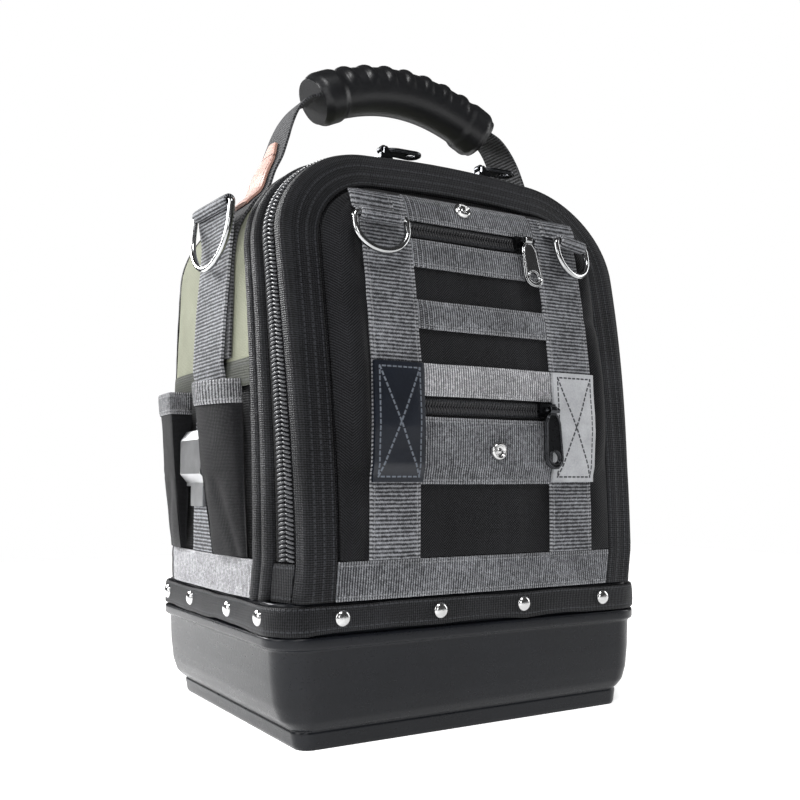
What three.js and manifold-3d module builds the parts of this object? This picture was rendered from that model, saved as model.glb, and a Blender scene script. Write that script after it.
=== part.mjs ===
// Tool backpack: a compact upright tool bag on a moulded base tub, in millimetres, +Z up.
// The origin is the centre of the foot's underside, the front faces -Y and +X is to the right.
import * as THREE from 'three';
import Module from 'manifold-3d';

const wasm = await Module();
wasm.setup();

// Clearances
const GAP = 0.3;
const RING_PLAY = 0.5;

// Moulded base tub
const BASE_WIDTH = 260;
const BASE_DEPTH = 205;
const BASE_CORNER = 22;
const BASE_WALL = 2.8;
const BASE_FLOOR = 4;
const LIP_TOP = 60;
const FOOT_INSET_X = 16.5;
const FOOT_INSET_Y = 8.5;
const RIM_INSET = 3;
const RIM_TOP = 77.5;
const CORNER_STEPS = 5;

// Cloth strip riveted round the rim
const SKIRT_THICK = 2.4;
const SKIRT_TOP = 76.5;
const RIVET_HEIGHT = 69.2;
const RIVET_RADIUS = 4.6;
const RIVET_RISE = 2.4;
const RIVET_SIDES = 10;
const FRONT_RIVETS = [0.7092, 0.2285];
const SIDE_RIVETS = [0.7551, 0.3141];

// Soft body
const BODY_BOTTOM = RIM_TOP + GAP;
const BODY_TOP = 337.2;
const BODY_HALF_LOW = BASE_WIDTH / 2 - 15.8;
const BODY_HALF_HIGH = BASE_WIDTH / 2 - 13.1;
const ARCH_WIDTH = 58.7;
const ARCH_HEIGHT = 57.9;
const CROWN_RISE = 2.5;
const WALL_THICK = 2.2;
const PANEL_THICK = 2.4;
const PANEL_CROWN = 1;
const SEAM = 0.8;
const EDGE_DEPTH = BASE_DEPTH / 2 + 0.7;
const BACK_DEPTH = BASE_DEPTH / 2 - 1.5;
const EDGE_LEAN = 33.8;
const BODY_HEIGHT = BODY_TOP - BODY_BOTTOM;

// Trims along the arch, each measured back from the panel's edge
const BINDING_WIDTH = 18;
const BINDING_THICK = 1.6;
const BINDING_RETURN = 4.4;
const ZIP_START = 5.6;
const ZIP_WIDTH = 12;
const ZIP_THICK = 3;
const PIPING_START = 22;
const PIPING_WIDTH = 18;
const PIPING_THICK = 4.6;
const CANVAS_START = PIPING_START + PIPING_WIDTH + GAP;
const CANVAS_END = BINDING_RETURN + 1.2;
const BACK_TAB_END = 26;
const CANVAS_THICK = 1.2;
const CANVAS_BOTTOM = 198;

// Webbing bands round the bottom
const BAND_THICK = 1.6;
const BAND_BOTTOM = BODY_BOTTOM;
const BAND_TOP = 99;
const FRONT_BAND_HALF = BODY_HALF_LOW - BINDING_WIDTH - 0.4;

// Front pocket and its webbing
const POCKET_BOTTOM = BAND_TOP + 2 * GAP;
const POCKET_TOP = BODY_TOP - 23.2;
const POCKET_INSET = BINDING_WIDTH + 1.5;
const POCKET_THICK = 1.8;
const WEB_THICK = 1.6;
const STRAP_WIDTH = 32;
const STRAP_X = 0.5482 * BODY_HALF_LOW;
const PATCH_THICK = 2.2;
const ZIP_STRIP_HEIGHT = 9;
const ZIP_STRIP_THICK = 2.6;

// Sizes of small metal pieces
const SNAP_RADIUS = 5.6;
const SNAP_RISE = 3;
const PULL_LENGTHS = { upper: 31, lower: 35, main: 27 };
const PULL_WIDTH = 13;
const PULL_THICK = 1.8;
const SLIDER_LENGTH = 8.4;
const SLIDER_WIDTH = 12;
const SLIDER_RISE = 5;
const RING_WIRE = 1.9;
const FRONT_RING_WIDTH = 30;
const FRONT_RING_DROP = 21;
const SIDE_RING_WIDTH = 50;
const SIDE_RING_DROP = 38;

// Sides
const SIDE_STRAP_WIDTH = 50;
const SIDE_STRAP_Y = 3;
const SIDE_STRAP_THICK = 2;
const HANDLE_Y = -10;
const HANDLE_STRAP_WIDTH = 38;
const HANDLE_STRAP_THICK = 1.8;
const POCKET_WALL = 1.8;
const CLIP_THICK = 1.8;
const CLIP_WIDTH = 38;
const CLIP_Y = 17;

// Carry handle
const GRIP_HALF = BODY_HALF_HIGH - 49.9;
const GRIP_TOP_Z = BODY_TOP + 71.8;
const GRIP_SAG = 18.6;
const GRIP_RADIUS = 17.5;

const material = (name, color, roughness, metalness) =>
  Object.assign(new THREE.MeshStandardMaterial({ color, roughness, metalness }), { name });

const MATERIALS = {
  tub: material('moulded_tub', 0x3a4048, 0.42, 0),
  cloth: material('black_cloth', 0x1b1c20, 0.9, 0),
  canvas: material('olive_canvas', 0xb4bca6, 0.9, 0),
  webbing: material('grey_webbing', 0x6c6e73, 0.85, 0),
  lightWebbing: material('light_webbing', 0xb9babd, 0.8, 0),
  blackWebbing: material('black_webbing', 0x2a2b2e, 0.85, 0),
  leather: material('black_leather', 0x1c2530, 0.35, 0),
  tanLeather: material('tan_leather', 0xd8b7ab, 0.6, 0),
  steel: material('polished_steel', 0xd2d4d6, 0.2, 1),
  coil: material('zip_coil', 0x55585c, 0.35, 0.6),
  rubber: material('grip_rubber', 0x24272b, 0.5, 0),
};

const root = new THREE.Group();

function addMesh(name, geometry, mat, parent = root) {
  const mesh = new THREE.Mesh(geometry, mat);
  mesh.name = name;
  parent.add(mesh);
  return mesh;
}

const lerp = THREE.MathUtils.lerp;
const clamp = THREE.MathUtils.clamp;
const smooth = THREE.MathUtils.smoothstep;

// Builds a closed body from vertices and triangles, with its faces turned outwards
function closedBody(points, triangles) {
  const position = new Float32Array(points.length * 3);
  points.forEach((p, i) => position.set([p.x, p.y, p.z], i * 3));
  let volume = 0;
  for (const [a, b, c] of triangles) {
    volume += points[a].dot(new THREE.Vector3().crossVectors(points[b], points[c]));
  }
  const index = triangles.flatMap(([a, b, c]) => (volume > 0 ? [a, b, c] : [a, c, b]));
  const geometry = new THREE.BufferGeometry();
  geometry.setAttribute('position', new THREE.BufferAttribute(position, 3));
  geometry.setIndex(index);
  return geometry;
}

// Joins equal rings of points into a body, closed on itself or capped by the given triangles
function loft(rings, caps) {
  const size = rings[0].length;
  const triangles = [];
  const count = caps ? rings.length - 1 : rings.length;
  for (let r = 0; r < count; r += 1) {
    const here = r * size;
    const next = ((r + 1) % rings.length) * size;
    for (let i = 0; i < size; i += 1) {
      const j = (i + 1) % size;
      triangles.push([here + i, here + j, next + j], [here + i, next + j, next + i]);
    }
  }
  if (caps) {
    const last = (rings.length - 1) * size;
    for (const [a, b, c] of caps) {
      triangles.push([a, c, b], [last + a, last + b, last + c]);
    }
  }
  return closedBody(rings.flat(), triangles);
}

// Cap triangles for a closed flat outline of [a, b] pairs
function outlineCaps(section) {
  const contour = section.map(([a, b]) => new THREE.Vector2(a, b));
  const faces = THREE.ShapeUtils.triangulateShape(contour, []);
  return THREE.ShapeUtils.isClockWise(contour) ? faces.map(([a, b, c]) => [a, c, b]) : faces;
}

// A bar of constant section: placeAt turns a section point into a place for each station
function sweep(section, stations, placeAt, closed = false) {
  const rings = stations.map((station) => section.map(([a, b]) => placeAt(station, a, b)));
  return loft(rings, closed ? null : outlineCaps(section));
}

// A thin wall over a grid: faceAt(u, v) is its outer face and skinAt(u, v) its inner face
function sheet(columns, rows, faceAt, skinAt) {
  const rings = [];
  for (let r = 0; r <= rows; r += 1) {
    const v = r / rows;
    const outer = [];
    const inner = [];
    for (let c = 0; c <= columns; c += 1) {
      outer.push(faceAt(c / columns, v));
      inner.unshift(skinAt(c / columns, v));
    }
    rings.push([...outer, ...inner]);
  }
  const size = 2 * (columns + 1);
  const caps = [];
  for (let c = 0; c < columns; c += 1) {
    caps.push([c, c + 1, size - 2 - c], [c, size - 2 - c, size - 1 - c]);
  }
  return loft(rings, caps);
}

const along = (count) => Array.from({ length: count + 1 }, (unused, i) => i / count);

function toManifold(geometry) {
  return new wasm.Manifold(new wasm.Mesh({
    numProp: 3,
    vertProperties: Float32Array.from(geometry.attributes.position.array),
    triVerts: Uint32Array.from(geometry.index.array),
  }));
}

function fromManifold(solid) {
  const mesh = solid.getMesh();
  const geometry = new THREE.BufferGeometry();
  geometry.setAttribute('position', new THREE.BufferAttribute(mesh.vertProperties, 3));
  geometry.setIndex(Array.from(mesh.triVerts));
  return geometry;
}

// Plan outline of the base, a rounded rectangle moved inwards along X and Y
function basePlan(insetX, z, insetY = insetX) {
  const radius = Math.max(BASE_CORNER - (insetX + insetY) / 2, 4);
  const halfX = BASE_WIDTH / 2 - insetX - radius;
  const halfY = BASE_DEPTH / 2 - insetY - radius;
  const corners = [[1, 1], [-1, 1], [-1, -1], [1, -1]];
  return corners.flatMap(([sx, sy], quarter) => along(CORNER_STEPS).map((t) => {
    const angle = (quarter + t) * Math.PI / 2;
    return new THREE.Vector3(
      sx * halfX + radius * Math.cos(angle),
      sy * halfY + radius * Math.sin(angle),
      z,
    );
  }));
}

// Base tub: the outer skin from the foot up, then the inner skin down to the floor
const TUB_OUTER = [
  { inset: 1.1, height: 0.0 },
  { inset: 1.03, height: 0.025 },
  { inset: 0.95, height: 0.145 },
  { inset: 1.0, height: 0.165 },
  { inset: 0.84, height: 0.19 },
  { inset: 0.58, height: 0.255 },
  { inset: 0.39, height: 0.39 },
  { inset: 0.28, height: 0.6 },
  { inset: 0.22, height: 0.88 },
  { inset: 0.0, height: 0.905 },
  { inset: 0.0, height: 1.0 },
];
const TUB_INNER = [
  { inset: 0.3, height: 0.88 },
  { inset: 0.42, height: 0.6 },
  { inset: 0.66, height: 0.42 },
  { inset: 1.02, height: 0.29 },
];

function baseTub() {
  const foot = (row, wall) => basePlan(
    row.inset * FOOT_INSET_X + wall, row.height * LIP_TOP, row.inset * FOOT_INSET_Y + wall,
  );
  const outer = TUB_OUTER.map((row) => foot(row, 0));
  const rim = [
    basePlan(RIM_INSET, LIP_TOP),
    basePlan(RIM_INSET, RIM_TOP),
    basePlan(RIM_INSET + BASE_WALL, RIM_TOP),
  ];
  const inner = TUB_INNER.map((row) => foot(row, BASE_WALL));
  const floor = [foot({ inset: 1.25, height: BASE_FLOOR / LIP_TOP }, BASE_WALL)];
  const rings = [...outer, ...rim, ...inner, ...floor];
  const caps = outlineCaps(rings[0].map((p) => [p.x, p.y]));
  return loft(rings, caps);
}
addMesh('base_tub', baseTub(), MATERIALS.tub);

// A low dome with a short shank, its base at the origin and its crown along +Z
function dome(radius, rise, sink, sides) {
  const profile = [
    new THREE.Vector2(0, -sink),
    new THREE.Vector2(radius, -sink),
    new THREE.Vector2(radius, rise * 0.2),
    new THREE.Vector2(radius * 0.72, rise * 0.75),
    new THREE.Vector2(0, rise),
  ];
  const lathe = new THREE.LatheGeometry(profile, sides);
  lathe.rotateX(Math.PI / 2);
  return weld(lathe);
}

// Joins a geometry's seam so that it is one closed body
function weld(geometry) {
  const source = geometry.toNonIndexed().attributes.position;
  const points = [];
  const lookup = new Map();
  const ids = [];
  for (let i = 0; i < source.count; i += 1) {
    const p = new THREE.Vector3().fromBufferAttribute(source, i);
    const key = p.toArray().map((value) => Math.round(value * 1e4)).join();
    if (!lookup.has(key)) {
      lookup.set(key, points.length);
      points.push(p);
    }
    ids.push(lookup.get(key));
  }
  const triangles = [];
  for (let i = 0; i < ids.length; i += 3) {
    const [a, b, c] = ids.slice(i, i + 3);
    if (a !== b && b !== c && c !== a) {
      triangles.push([a, b, c]);
    }
  }
  return closedBody(points, triangles);
}

// Riveted strip: a cloth ring round the rim, with its rivet caps set in it
function skirtStrip() {
  const section = [
    [0, LIP_TOP + GAP],
    [-0.4, (LIP_TOP + SKIRT_TOP) / 2],
    [0.2, SKIRT_TOP],
    [SKIRT_THICK, SKIRT_TOP],
    [SKIRT_THICK, LIP_TOP + GAP],
  ];
  const rings = section.map(([inset, z]) => basePlan(inset, z));
  let solid = toManifold(loft(rings, null));
  const add = (x, y, turn) => {
    const cap = dome(RIVET_RADIUS, RIVET_RISE, SKIRT_THICK * 0.5, RIVET_SIDES);
    cap.rotateX(Math.PI / 2);
    cap.rotateZ(turn);
    cap.translate(x, y, RIVET_HEIGHT);
    solid = solid.add(toManifold(cap));
  };
  for (const sign of [1, -1]) {
    for (const share of FRONT_RIVETS) {
      const x = sign * share * BASE_WIDTH / 2;
      add(x, -BASE_DEPTH / 2, 0);
      add(x, BASE_DEPTH / 2, Math.PI);
    }
    for (const share of SIDE_RIVETS) {
      const y = sign * share * BASE_DEPTH / 2;
      add(BASE_WIDTH / 2, y, Math.PI / 2);
      add(-BASE_WIDTH / 2, y, -Math.PI / 2);
    }
  }
  return fromManifold(solid);
}
addMesh('skirt_strip', skirtStrip(), MATERIALS.cloth);

// Half width of the body at a height, and the lean of its front and back edges
function halfWidth(z) {
  const share = clamp((z - BODY_BOTTOM) / BODY_HEIGHT, 0, 1);
  return lerp(BODY_HALF_LOW, BODY_HALF_HIGH, smooth(share, 0, 0.7));
}

function lean(z) {
  const share = clamp((z - BAND_TOP) / (BODY_TOP - BAND_TOP), 0, 1);
  const hem = clamp((BAND_TOP - z) / (BAND_TOP - BODY_BOTTOM), 0, 1);
  return EDGE_LEAN * (0.11 * share + 0.89 * share * share) + 3 * hem;
}

const frontEdge = (z) => -EDGE_DEPTH + lean(z);
const backEdge = (z) => BACK_DEPTH - lean(z);

// Stations up the left side, round the arch and down the right side, with their normals
const SIDE_STATIONS = 5;
const ARCH_STATIONS = 5;
const ARCH_SPRING = BODY_TOP - CROWN_RISE - ARCH_HEIGHT;

function archStations(bottom = BODY_BOTTOM) {
  const left = [];
  const start = Math.max(bottom, BAND_TOP);
  const heights = along(SIDE_STATIONS).slice(0, -1).map((t) => lerp(start, ARCH_SPRING, t));
  if (bottom < BAND_TOP) {
    heights.unshift(bottom);
  }
  for (const z of heights) {
    left.push({ x: -halfWidth(z), z, nx: -1, nz: 0 });
  }
  const flat = halfWidth(ARCH_SPRING) - ARCH_WIDTH;
  along(ARCH_STATIONS).forEach((t) => {
    const angle = t * Math.PI / 2;
    left.push({
      x: -flat - ARCH_WIDTH * Math.cos(angle),
      z: ARCH_SPRING + ARCH_HEIGHT * Math.sin(angle),
      nx: -Math.cos(angle),
      nz: Math.sin(angle),
    });
  });
  left.push({ x: -flat / 2, z: BODY_TOP - CROWN_RISE * 0.25, nx: -0.06, nz: 0.998 });
  const right = left.map((s) => ({ ...s, x: -s.x, nx: -s.nx })).reverse();
  return [...left, { x: 0, z: BODY_TOP, nx: 0, nz: 1 }, ...right];
}

// How far the side bulges past the outline, most at the rim and least at the top
const BULGE_POWER = { front: 3.2, rear: 6 };
function bulge(y, z) {
  const share = clamp((z - BODY_BOTTOM) / BODY_HEIGHT, 0, 1);
  const rimBulge = BASE_WIDTH / 2 - RIM_INSET + 0.8 - BODY_HALF_LOW;
  const amount = rimBulge * (1 - 0.45 * smooth(share, 0, 0.85));
  const crown = 1 - 0.75 * smooth(share, 0.78, 1);
  const side = Math.abs(2 * y / (EDGE_DEPTH + BACK_DEPTH));
  const power = y < 0 ? BULGE_POWER.front : BULGE_POWER.rear;
  return amount * crown * (1 - clamp(side, 0, 1) ** power);
}

// A point on the wall: a station, a depth along Y and a height out of the wall
function onWall(station, y, out) {
  const reach = out + bulge(y, station.z);
  return new THREE.Vector3(station.x + station.nx * reach, y, station.z + station.nz * reach);
}

const sideX = (y, z, out) => halfWidth(z) + bulge(y, z) + out;

// Bag wall: one band of cloth from the front panel over the top to the back panel
const WALL_COLUMNS = 8;
function bagWall() {
  const stations = archStations();
  const yAt = (z, u) => lerp(frontEdge(z) + PANEL_THICK + SEAM, backEdge(z) - PANEL_THICK - SEAM, u);
  const at = (u, v, out) => {
    const station = stations[Math.round(v * (stations.length - 1))];
    return onWall(station, yAt(station.z, u), out);
  };
  return sheet(WALL_COLUMNS, stations.length - 1, (u, v) => at(u, v, 0), (u, v) => at(u, v, -WALL_THICK));
}
addMesh('bag_wall', bagWall(), MATERIALS.cloth);

// Height of the arch above a given x, and a panel's grid over the arch's whole face
const BAND_SHARE = (BAND_TOP - BODY_BOTTOM) / (BODY_HEIGHT - CROWN_RISE - GAP);
const PANEL_ROWS = [0, BAND_SHARE, 0.3, 0.5, 0.68, 0.79, 0.87, 0.925, 0.96, 0.985, 1];
function panelPoint(u, v, inset) {
  const top = BODY_TOP - CROWN_RISE - inset;
  const low = lerp(BODY_BOTTOM, top, v);
  const across = clamp((low - ARCH_SPRING) / (ARCH_HEIGHT - inset), 0, 1);
  const reduced = (ARCH_WIDTH - inset) * (1 - Math.sqrt(Math.max(0, 1 - across * across)));
  const half = halfWidth(low) - inset - reduced;
  const x = lerp(-half, half, u);
  return { x, z: low + CROWN_RISE * smooth(v, 0.85, 1) * (1 - (x / half) ** 2), half, top };
}

function panelCrown(p) {
  const edge = Math.min(p.half - Math.abs(p.x), p.top + CROWN_RISE - p.z, p.z - BODY_BOTTOM + 4);
  return PANEL_CROWN * smooth(edge, BINDING_WIDTH, BINDING_WIDTH + 26);
}

function panel(edgeAt, facing) {
  const rows = PANEL_ROWS.length - 1;
  const at = (u, v, back) => {
    const p = panelPoint(u, PANEL_ROWS[Math.round(v * rows)], GAP);
    return new THREE.Vector3(p.x, edgeAt(p.z) + facing * (panelCrown(p) - back), p.z);
  };
  return sheet(10, rows, (u, v) => at(u, v, 0), (u, v) => at(u, v, PANEL_THICK));
}
addMesh('front_panel', panel(frontEdge, -1), MATERIALS.cloth);
addMesh('back_panel', panel(backEdge, 1), MATERIALS.cloth);

// Trims that follow the arch: a section of [depth from the edge, height out of the wall]
function archTrim(section, facing, stations = archStations()) {
  const edgeAt = facing < 0 ? frontEdge : backEdge;
  return sweep(section, stations, (s, depth, out) => onWall(s, edgeAt(s.z) - facing * depth, out));
}

// Binding: a folded tape with one leg on the panel's face and one on the wall
function binding(facing) {
  const edgeAt = facing < 0 ? frontEdge : backEdge;
  const section = [
    [BINDING_WIDTH, -GAP - BINDING_THICK],
    [2, -GAP - BINDING_THICK - 0.6],
    [-GAP - BINDING_THICK, -GAP - 0.4],
    [-GAP - BINDING_THICK, BINDING_RETURN],
    [-GAP, BINDING_RETURN],
    [-GAP, -GAP],
    [BINDING_WIDTH, -GAP],
  ];
  return sweep(section, archStations(), (s, inset, depth) => {
    const swell = inset > 0 ? 0 : bulge(edgeAt(s.z) - facing * depth, s.z);
    const reach = swell - inset;
    const z = s.z + s.nz * reach;
    return new THREE.Vector3(s.x + s.nx * reach, edgeAt(z) - facing * depth, z);
  });
}

function doubleRidge(start, width, rise, valley) {
  return [
    [start, GAP],
    [start + width * 0.08, rise * 0.8],
    [start + width * 0.26, rise],
    [start + width * 0.44, rise * 0.8],
    [start + width * 0.5, valley],
    [start + width * 0.56, rise * 0.8],
    [start + width * 0.74, rise],
    [start + width * 0.92, rise * 0.8],
    [start + width, GAP],
  ];
}

addMesh('front_binding', binding(-1), MATERIALS.cloth);
addMesh('back_binding', binding(1), MATERIALS.cloth);
const zip = doubleRidge(ZIP_START, ZIP_WIDTH, ZIP_THICK, ZIP_THICK * 0.55);
addMesh('front_zip', archTrim(zip, -1, archStations(BAND_TOP)), MATERIALS.coil);
const piping = doubleRidge(PIPING_START, PIPING_WIDTH, PIPING_THICK, PIPING_THICK * 0.5);
addMesh('front_piping', archTrim(piping, -1), MATERIALS.cloth);

// Olive canvas over both sides and the top, from the piping to the back binding
function canvasPanel() {
  const stations = archStations(CANVAS_BOTTOM);
  const at = (u, v, out) => {
    const s = stations[Math.round(v * (stations.length - 1))];
    return onWall(s, lerp(frontEdge(s.z) + CANVAS_START, backEdge(s.z) - CANVAS_END, u), out);
  };
  const outer = (u, v) => at(u, v, SEAM + CANVAS_THICK);
  const inner = (u, v) => at(u, v, SEAM);
  return sheet(WALL_COLUMNS, stations.length - 1, outer, inner);
}
addMesh('canvas_panel', canvasPanel(), MATERIALS.canvas);

// Bottom bands and corner tabs lie on the wall, between its trims
const BAND_ROWS = 2;
function wallPatch(side, yFront, yBack, bottom, top, lift, thick, columns = 6, rows = BAND_ROWS) {
  const at = (u, v, out) => {
    const z = lerp(bottom, top, v);
    const y = lerp(yFront(z), yBack(z), u);
    return new THREE.Vector3(side * sideX(y, z, out), y, z);
  };
  return sheet(columns, rows, (u, v) => at(u, v, lift + thick), (u, v) => at(u, v, lift));
}

function facePatch(edgeAt, facing, xMin, xMax, bottom, top, lift, thick, rows = BAND_ROWS) {
  const at = (u, v, out) => {
    const z = lerp(bottom, top, v);
    return new THREE.Vector3(lerp(xMin, xMax, u), edgeAt(z) + facing * out, z);
  };
  return sheet(4, rows, (u, v) => at(u, v, lift + thick), (u, v) => at(u, v, lift));
}

const SIDES = [['left', -1], ['right', 1]];
for (const [name, facing, edgeAt] of [['front', -1, frontEdge], ['back', 1, backEdge]]) {
  const band = facePatch(
    edgeAt, facing, -FRONT_BAND_HALF, FRONT_BAND_HALF, BAND_BOTTOM, BAND_TOP, SEAM, BAND_THICK,
  );
  addMesh(`${name}_band`, band, MATERIALS.webbing);
}
for (const [name, side] of SIDES) {
  const fromFront = (depth) => (z) => frontEdge(z) + depth;
  const fromBack = (depth) => (z) => backEdge(z) - depth;
  const band = wallPatch(
    side, fromFront(CANVAS_START + 1), fromBack(BACK_TAB_END + 1), BAND_BOTTOM, BAND_TOP, SEAM, BAND_THICK,
  );
  addMesh(`${name}_band`, band, MATERIALS.lightWebbing);
  const tabTop = BAND_TOP - SEAM;
  const tab = (yFront, yBack) => wallPatch(side, yFront, yBack, BAND_BOTTOM, tabTop, SEAM, BAND_THICK, 3);
  const frontTab = tab(fromFront(BINDING_RETURN + 1), fromFront(PIPING_START - 1));
  addMesh(`front_tab_${name}`, frontTab, MATERIALS.cloth);
  const backTab = tab(fromBack(BACK_TAB_END), fromBack(BINDING_RETURN + 1));
  addMesh(`back_tab_${name}`, backTab, MATERIALS.cloth);
}

// Front pocket face: how far it stands from the panel's edge at each share of its height
const POCKET_STAND = 14;
const POCKET_FACE = [
  { height: 0, stand: 0.22 },
  { height: 0.12, stand: 0.32 },
  { height: 0.188, stand: 0.37 },
  { height: 0.215, stand: 0.42 },
  { height: 0.24, stand: 0.56 },
  { height: 0.34, stand: 0.76 },
  { height: 0.505, stand: 0.93 },
  { height: 0.65, stand: 0.99 },
  { height: 0.68, stand: 0.95 },
  { height: 0.71, stand: 0.99 },
  { height: 0.86, stand: 1.02 },
  { height: 0.92, stand: 1 },
  { height: 0.96, stand: 0.9 },
  { height: 0.985, stand: 0.72 },
  { height: 1, stand: 0.42 },
].map((row) => {
  const z = lerp(POCKET_BOTTOM, POCKET_TOP, row.height);
  return { z, y: frontEdge(z) - row.stand * POCKET_STAND };
});

function pocketY(z) {
  const rows = POCKET_FACE;
  const upper = clamp(rows.findIndex((row) => row.z >= z), 1, rows.length - 1);
  const [low, high] = [rows[upper - 1], rows[upper]];
  return lerp(low.y, high.y, (z - low.z) / (high.z - low.z));
}

// Lean of the pocket's face at a height, as a turn about X
function faceSlope(z) {
  return Math.atan2(pocketY(z + 4) - pocketY(z - 4), 8);
}

// Heights where a strip on the pocket's face bends with it
function bends(bottom, top) {
  const inner = POCKET_FACE.map((row) => row.z).filter((z) => z > bottom + 0.1 && z < top - 0.1);
  return [bottom, ...inner, top];
}

// Half width of the arch at a height, less an inset
function archHalf(z, inset) {
  const rise = clamp((z - ARCH_SPRING) / (ARCH_HEIGHT - inset), 0, 1);
  return halfWidth(z) - inset - (ARCH_WIDTH - inset) * (1 - Math.sqrt(1 - rise * rise));
}

function frontPocket() {
  const shares = [-1, -0.985, -0.94, -0.88, -0.82, -0.4, 0, 0.4, 0.82, 0.88, 0.94, 0.985, 1];
  const columns = shares.length - 1;
  const rows = POCKET_FACE.length - 1;
  const at = (u, v, back) => {
    const row = POCKET_FACE[Math.round(v * rows)];
    const share = shares[Math.round(u * columns)];
    const half = archHalf(row.z, POCKET_INSET);
    const fall = clamp((Math.abs(share) - 0.82) / 0.18, 0, 1);
    const foot = frontEdge(row.z) - PANEL_CROWN - GAP - POCKET_THICK;
    const y = lerp(row.y, Math.max(foot, row.y), fall ** 2.6);
    return new THREE.Vector3(share * half, y + back, row.z);
  };
  return sheet(columns, rows, (u, v) => at(u, v, 0), (u, v) => at(u, v, POCKET_THICK));
}
addMesh('front_pocket', frontPocket(), MATERIALS.cloth);

// A flat strip of webbing, leather or zip on the pocket's face
function faceStrip(xMin, xMax, bottom, top, lift, thick) {
  const stops = bends(bottom, top);
  const at = (u, v, out) => {
    const z = stops[Math.round(v * (stops.length - 1))];
    return new THREE.Vector3(lerp(xMin, xMax, u), pocketY(z) - out, z);
  };
  return sheet(1, stops.length - 1, (u, v) => at(u, v, lift + thick), (u, v) => at(u, v, lift));
}

// Rows of webbing and zips across the pocket, each at a share of its height and with its tape's width
const rowAt = (share, width) => {
  const middle = lerp(POCKET_BOTTOM, POCKET_TOP, share);
  return { middle, bottom: middle - width / 2, top: middle + width / 2 };
};
const ROW_HALF = STRAP_X - STRAP_WIDTH / 2 - GAP;
const WEB_ROWS = {
  web_row_1: rowAt(0.94753, 17.5),
  web_row_2: rowAt(0.81343, 17),
  web_row_3: rowAt(0.64086, 17),
  web_row_4: rowAt(0.46478, 18.5),
  web_row_5: rowAt(0.27775, 37.7),
};
for (const [name, row] of Object.entries(WEB_ROWS)) {
  const strip = faceStrip(-ROW_HALF, ROW_HALF, row.bottom, row.top, GAP, WEB_THICK);
  addMesh(name, strip, name === 'web_row_4' ? MATERIALS.lightWebbing : MATERIALS.webbing);
}

const ZIP_ROWS = { upper: rowAt(0.8806, ZIP_STRIP_HEIGHT), lower: rowAt(0.39366, ZIP_STRIP_HEIGHT) };
for (const [name, row] of Object.entries(ZIP_ROWS)) {
  const strip = faceStrip(-ROW_HALF, ROW_HALF, row.bottom, row.top, GAP, ZIP_STRIP_THICK);
  addMesh(`pocket_zip_${name}`, strip, MATERIALS.coil);
}

// Straps up the pocket's face, with a leather patch across the two lower rows' ends
const STRAP_TOP = POCKET_TOP - 4;
const PATCH_BOTTOM = WEB_ROWS.web_row_5.bottom + 1.2;
const PATCH_TOP = WEB_ROWS.web_row_4.top - 0.5;
for (const [name, side] of SIDES) {
  const inner = side * (STRAP_X - STRAP_WIDTH / 2);
  const outer = side * (STRAP_X + STRAP_WIDTH / 2);
  const strap = faceStrip(inner, outer, POCKET_BOTTOM, STRAP_TOP, GAP, WEB_THICK);
  addMesh(`front_strap_${name}`, strap, MATERIALS.webbing);
  const lift = 2 * GAP + WEB_THICK;
  const patch = faceStrip(inner, outer, PATCH_BOTTOM, PATCH_TOP, lift, PATCH_THICK);
  addMesh(`front_patch_${name}`, patch, MATERIALS.leather);
}

// A group whose Z points out of the pocket's face and whose Y points up it
function faceGroup(x, z, out, slope = faceSlope(z)) {
  const group = new THREE.Group();
  group.position.set(x, pocketY(z) - out, z);
  group.rotation.x = Math.PI / 2 - slope;
  root.add(group);
  return group;
}

function union(geometries) {
  return fromManifold(geometries.map(toManifold).reduce((a, b) => a.add(b)));
}

function box(width, depth, height, x = 0, y = 0, z = 0) {
  const geometry = new THREE.BoxGeometry(width, depth, height);
  geometry.translate(x, y, z);
  return weld(geometry);
}

function rod(radius, length, sides = 8) {
  const geometry = new THREE.CylinderGeometry(radius, radius, length, sides);
  geometry.rotateZ(Math.PI / 2);
  return weld(geometry);
}

// Snap stud: a ring cap with a socket in the middle
const SNAP_PROFILE = [[0, 0], [1, 0], [1, 0.4], [0.82, 1], [0.6, 1], [0.52, 0.5], [0.3, 0.5], [0, 0.75]];
const SNAP_SIDES = 14;
function snapStud() {
  const profile = SNAP_PROFILE.map(([a, b]) => new THREE.Vector2(a * SNAP_RADIUS, b * SNAP_RISE));
  const lathe = new THREE.LatheGeometry(profile, SNAP_SIDES);
  lathe.rotateX(Math.PI / 2);
  return weld(lathe);
}
const SNAPS = {
  upper: { x: -6, z: WEB_ROWS.web_row_1.middle + 2.75 },
  lower: { x: 5, z: WEB_ROWS.web_row_5.middle + 0.35 },
};
for (const [name, place] of Object.entries(SNAPS)) {
  const group = faceGroup(place.x, place.z, WEB_THICK + 3 * GAP);
  addMesh(`snap_${name}`, snapStud(), MATERIALS.steel, group);
}

// Slider: a body on the coil with a bridge along X, and a pull whose knuckle turns on the bridge
const BRIDGE_RADIUS = 1.1;
const KNUCKLE_HOLE = BRIDGE_RADIUS + 0.35;
const KNUCKLE_RADIUS = KNUCKLE_HOLE + 1.2;
const BRIDGE_HEIGHT = SLIDER_RISE + KNUCKLE_RADIUS - 1;
const KNUCKLE_WIDTH = 5;
const POST_WIDTH = 2;
const POST_DEPTH = 3;

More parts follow.
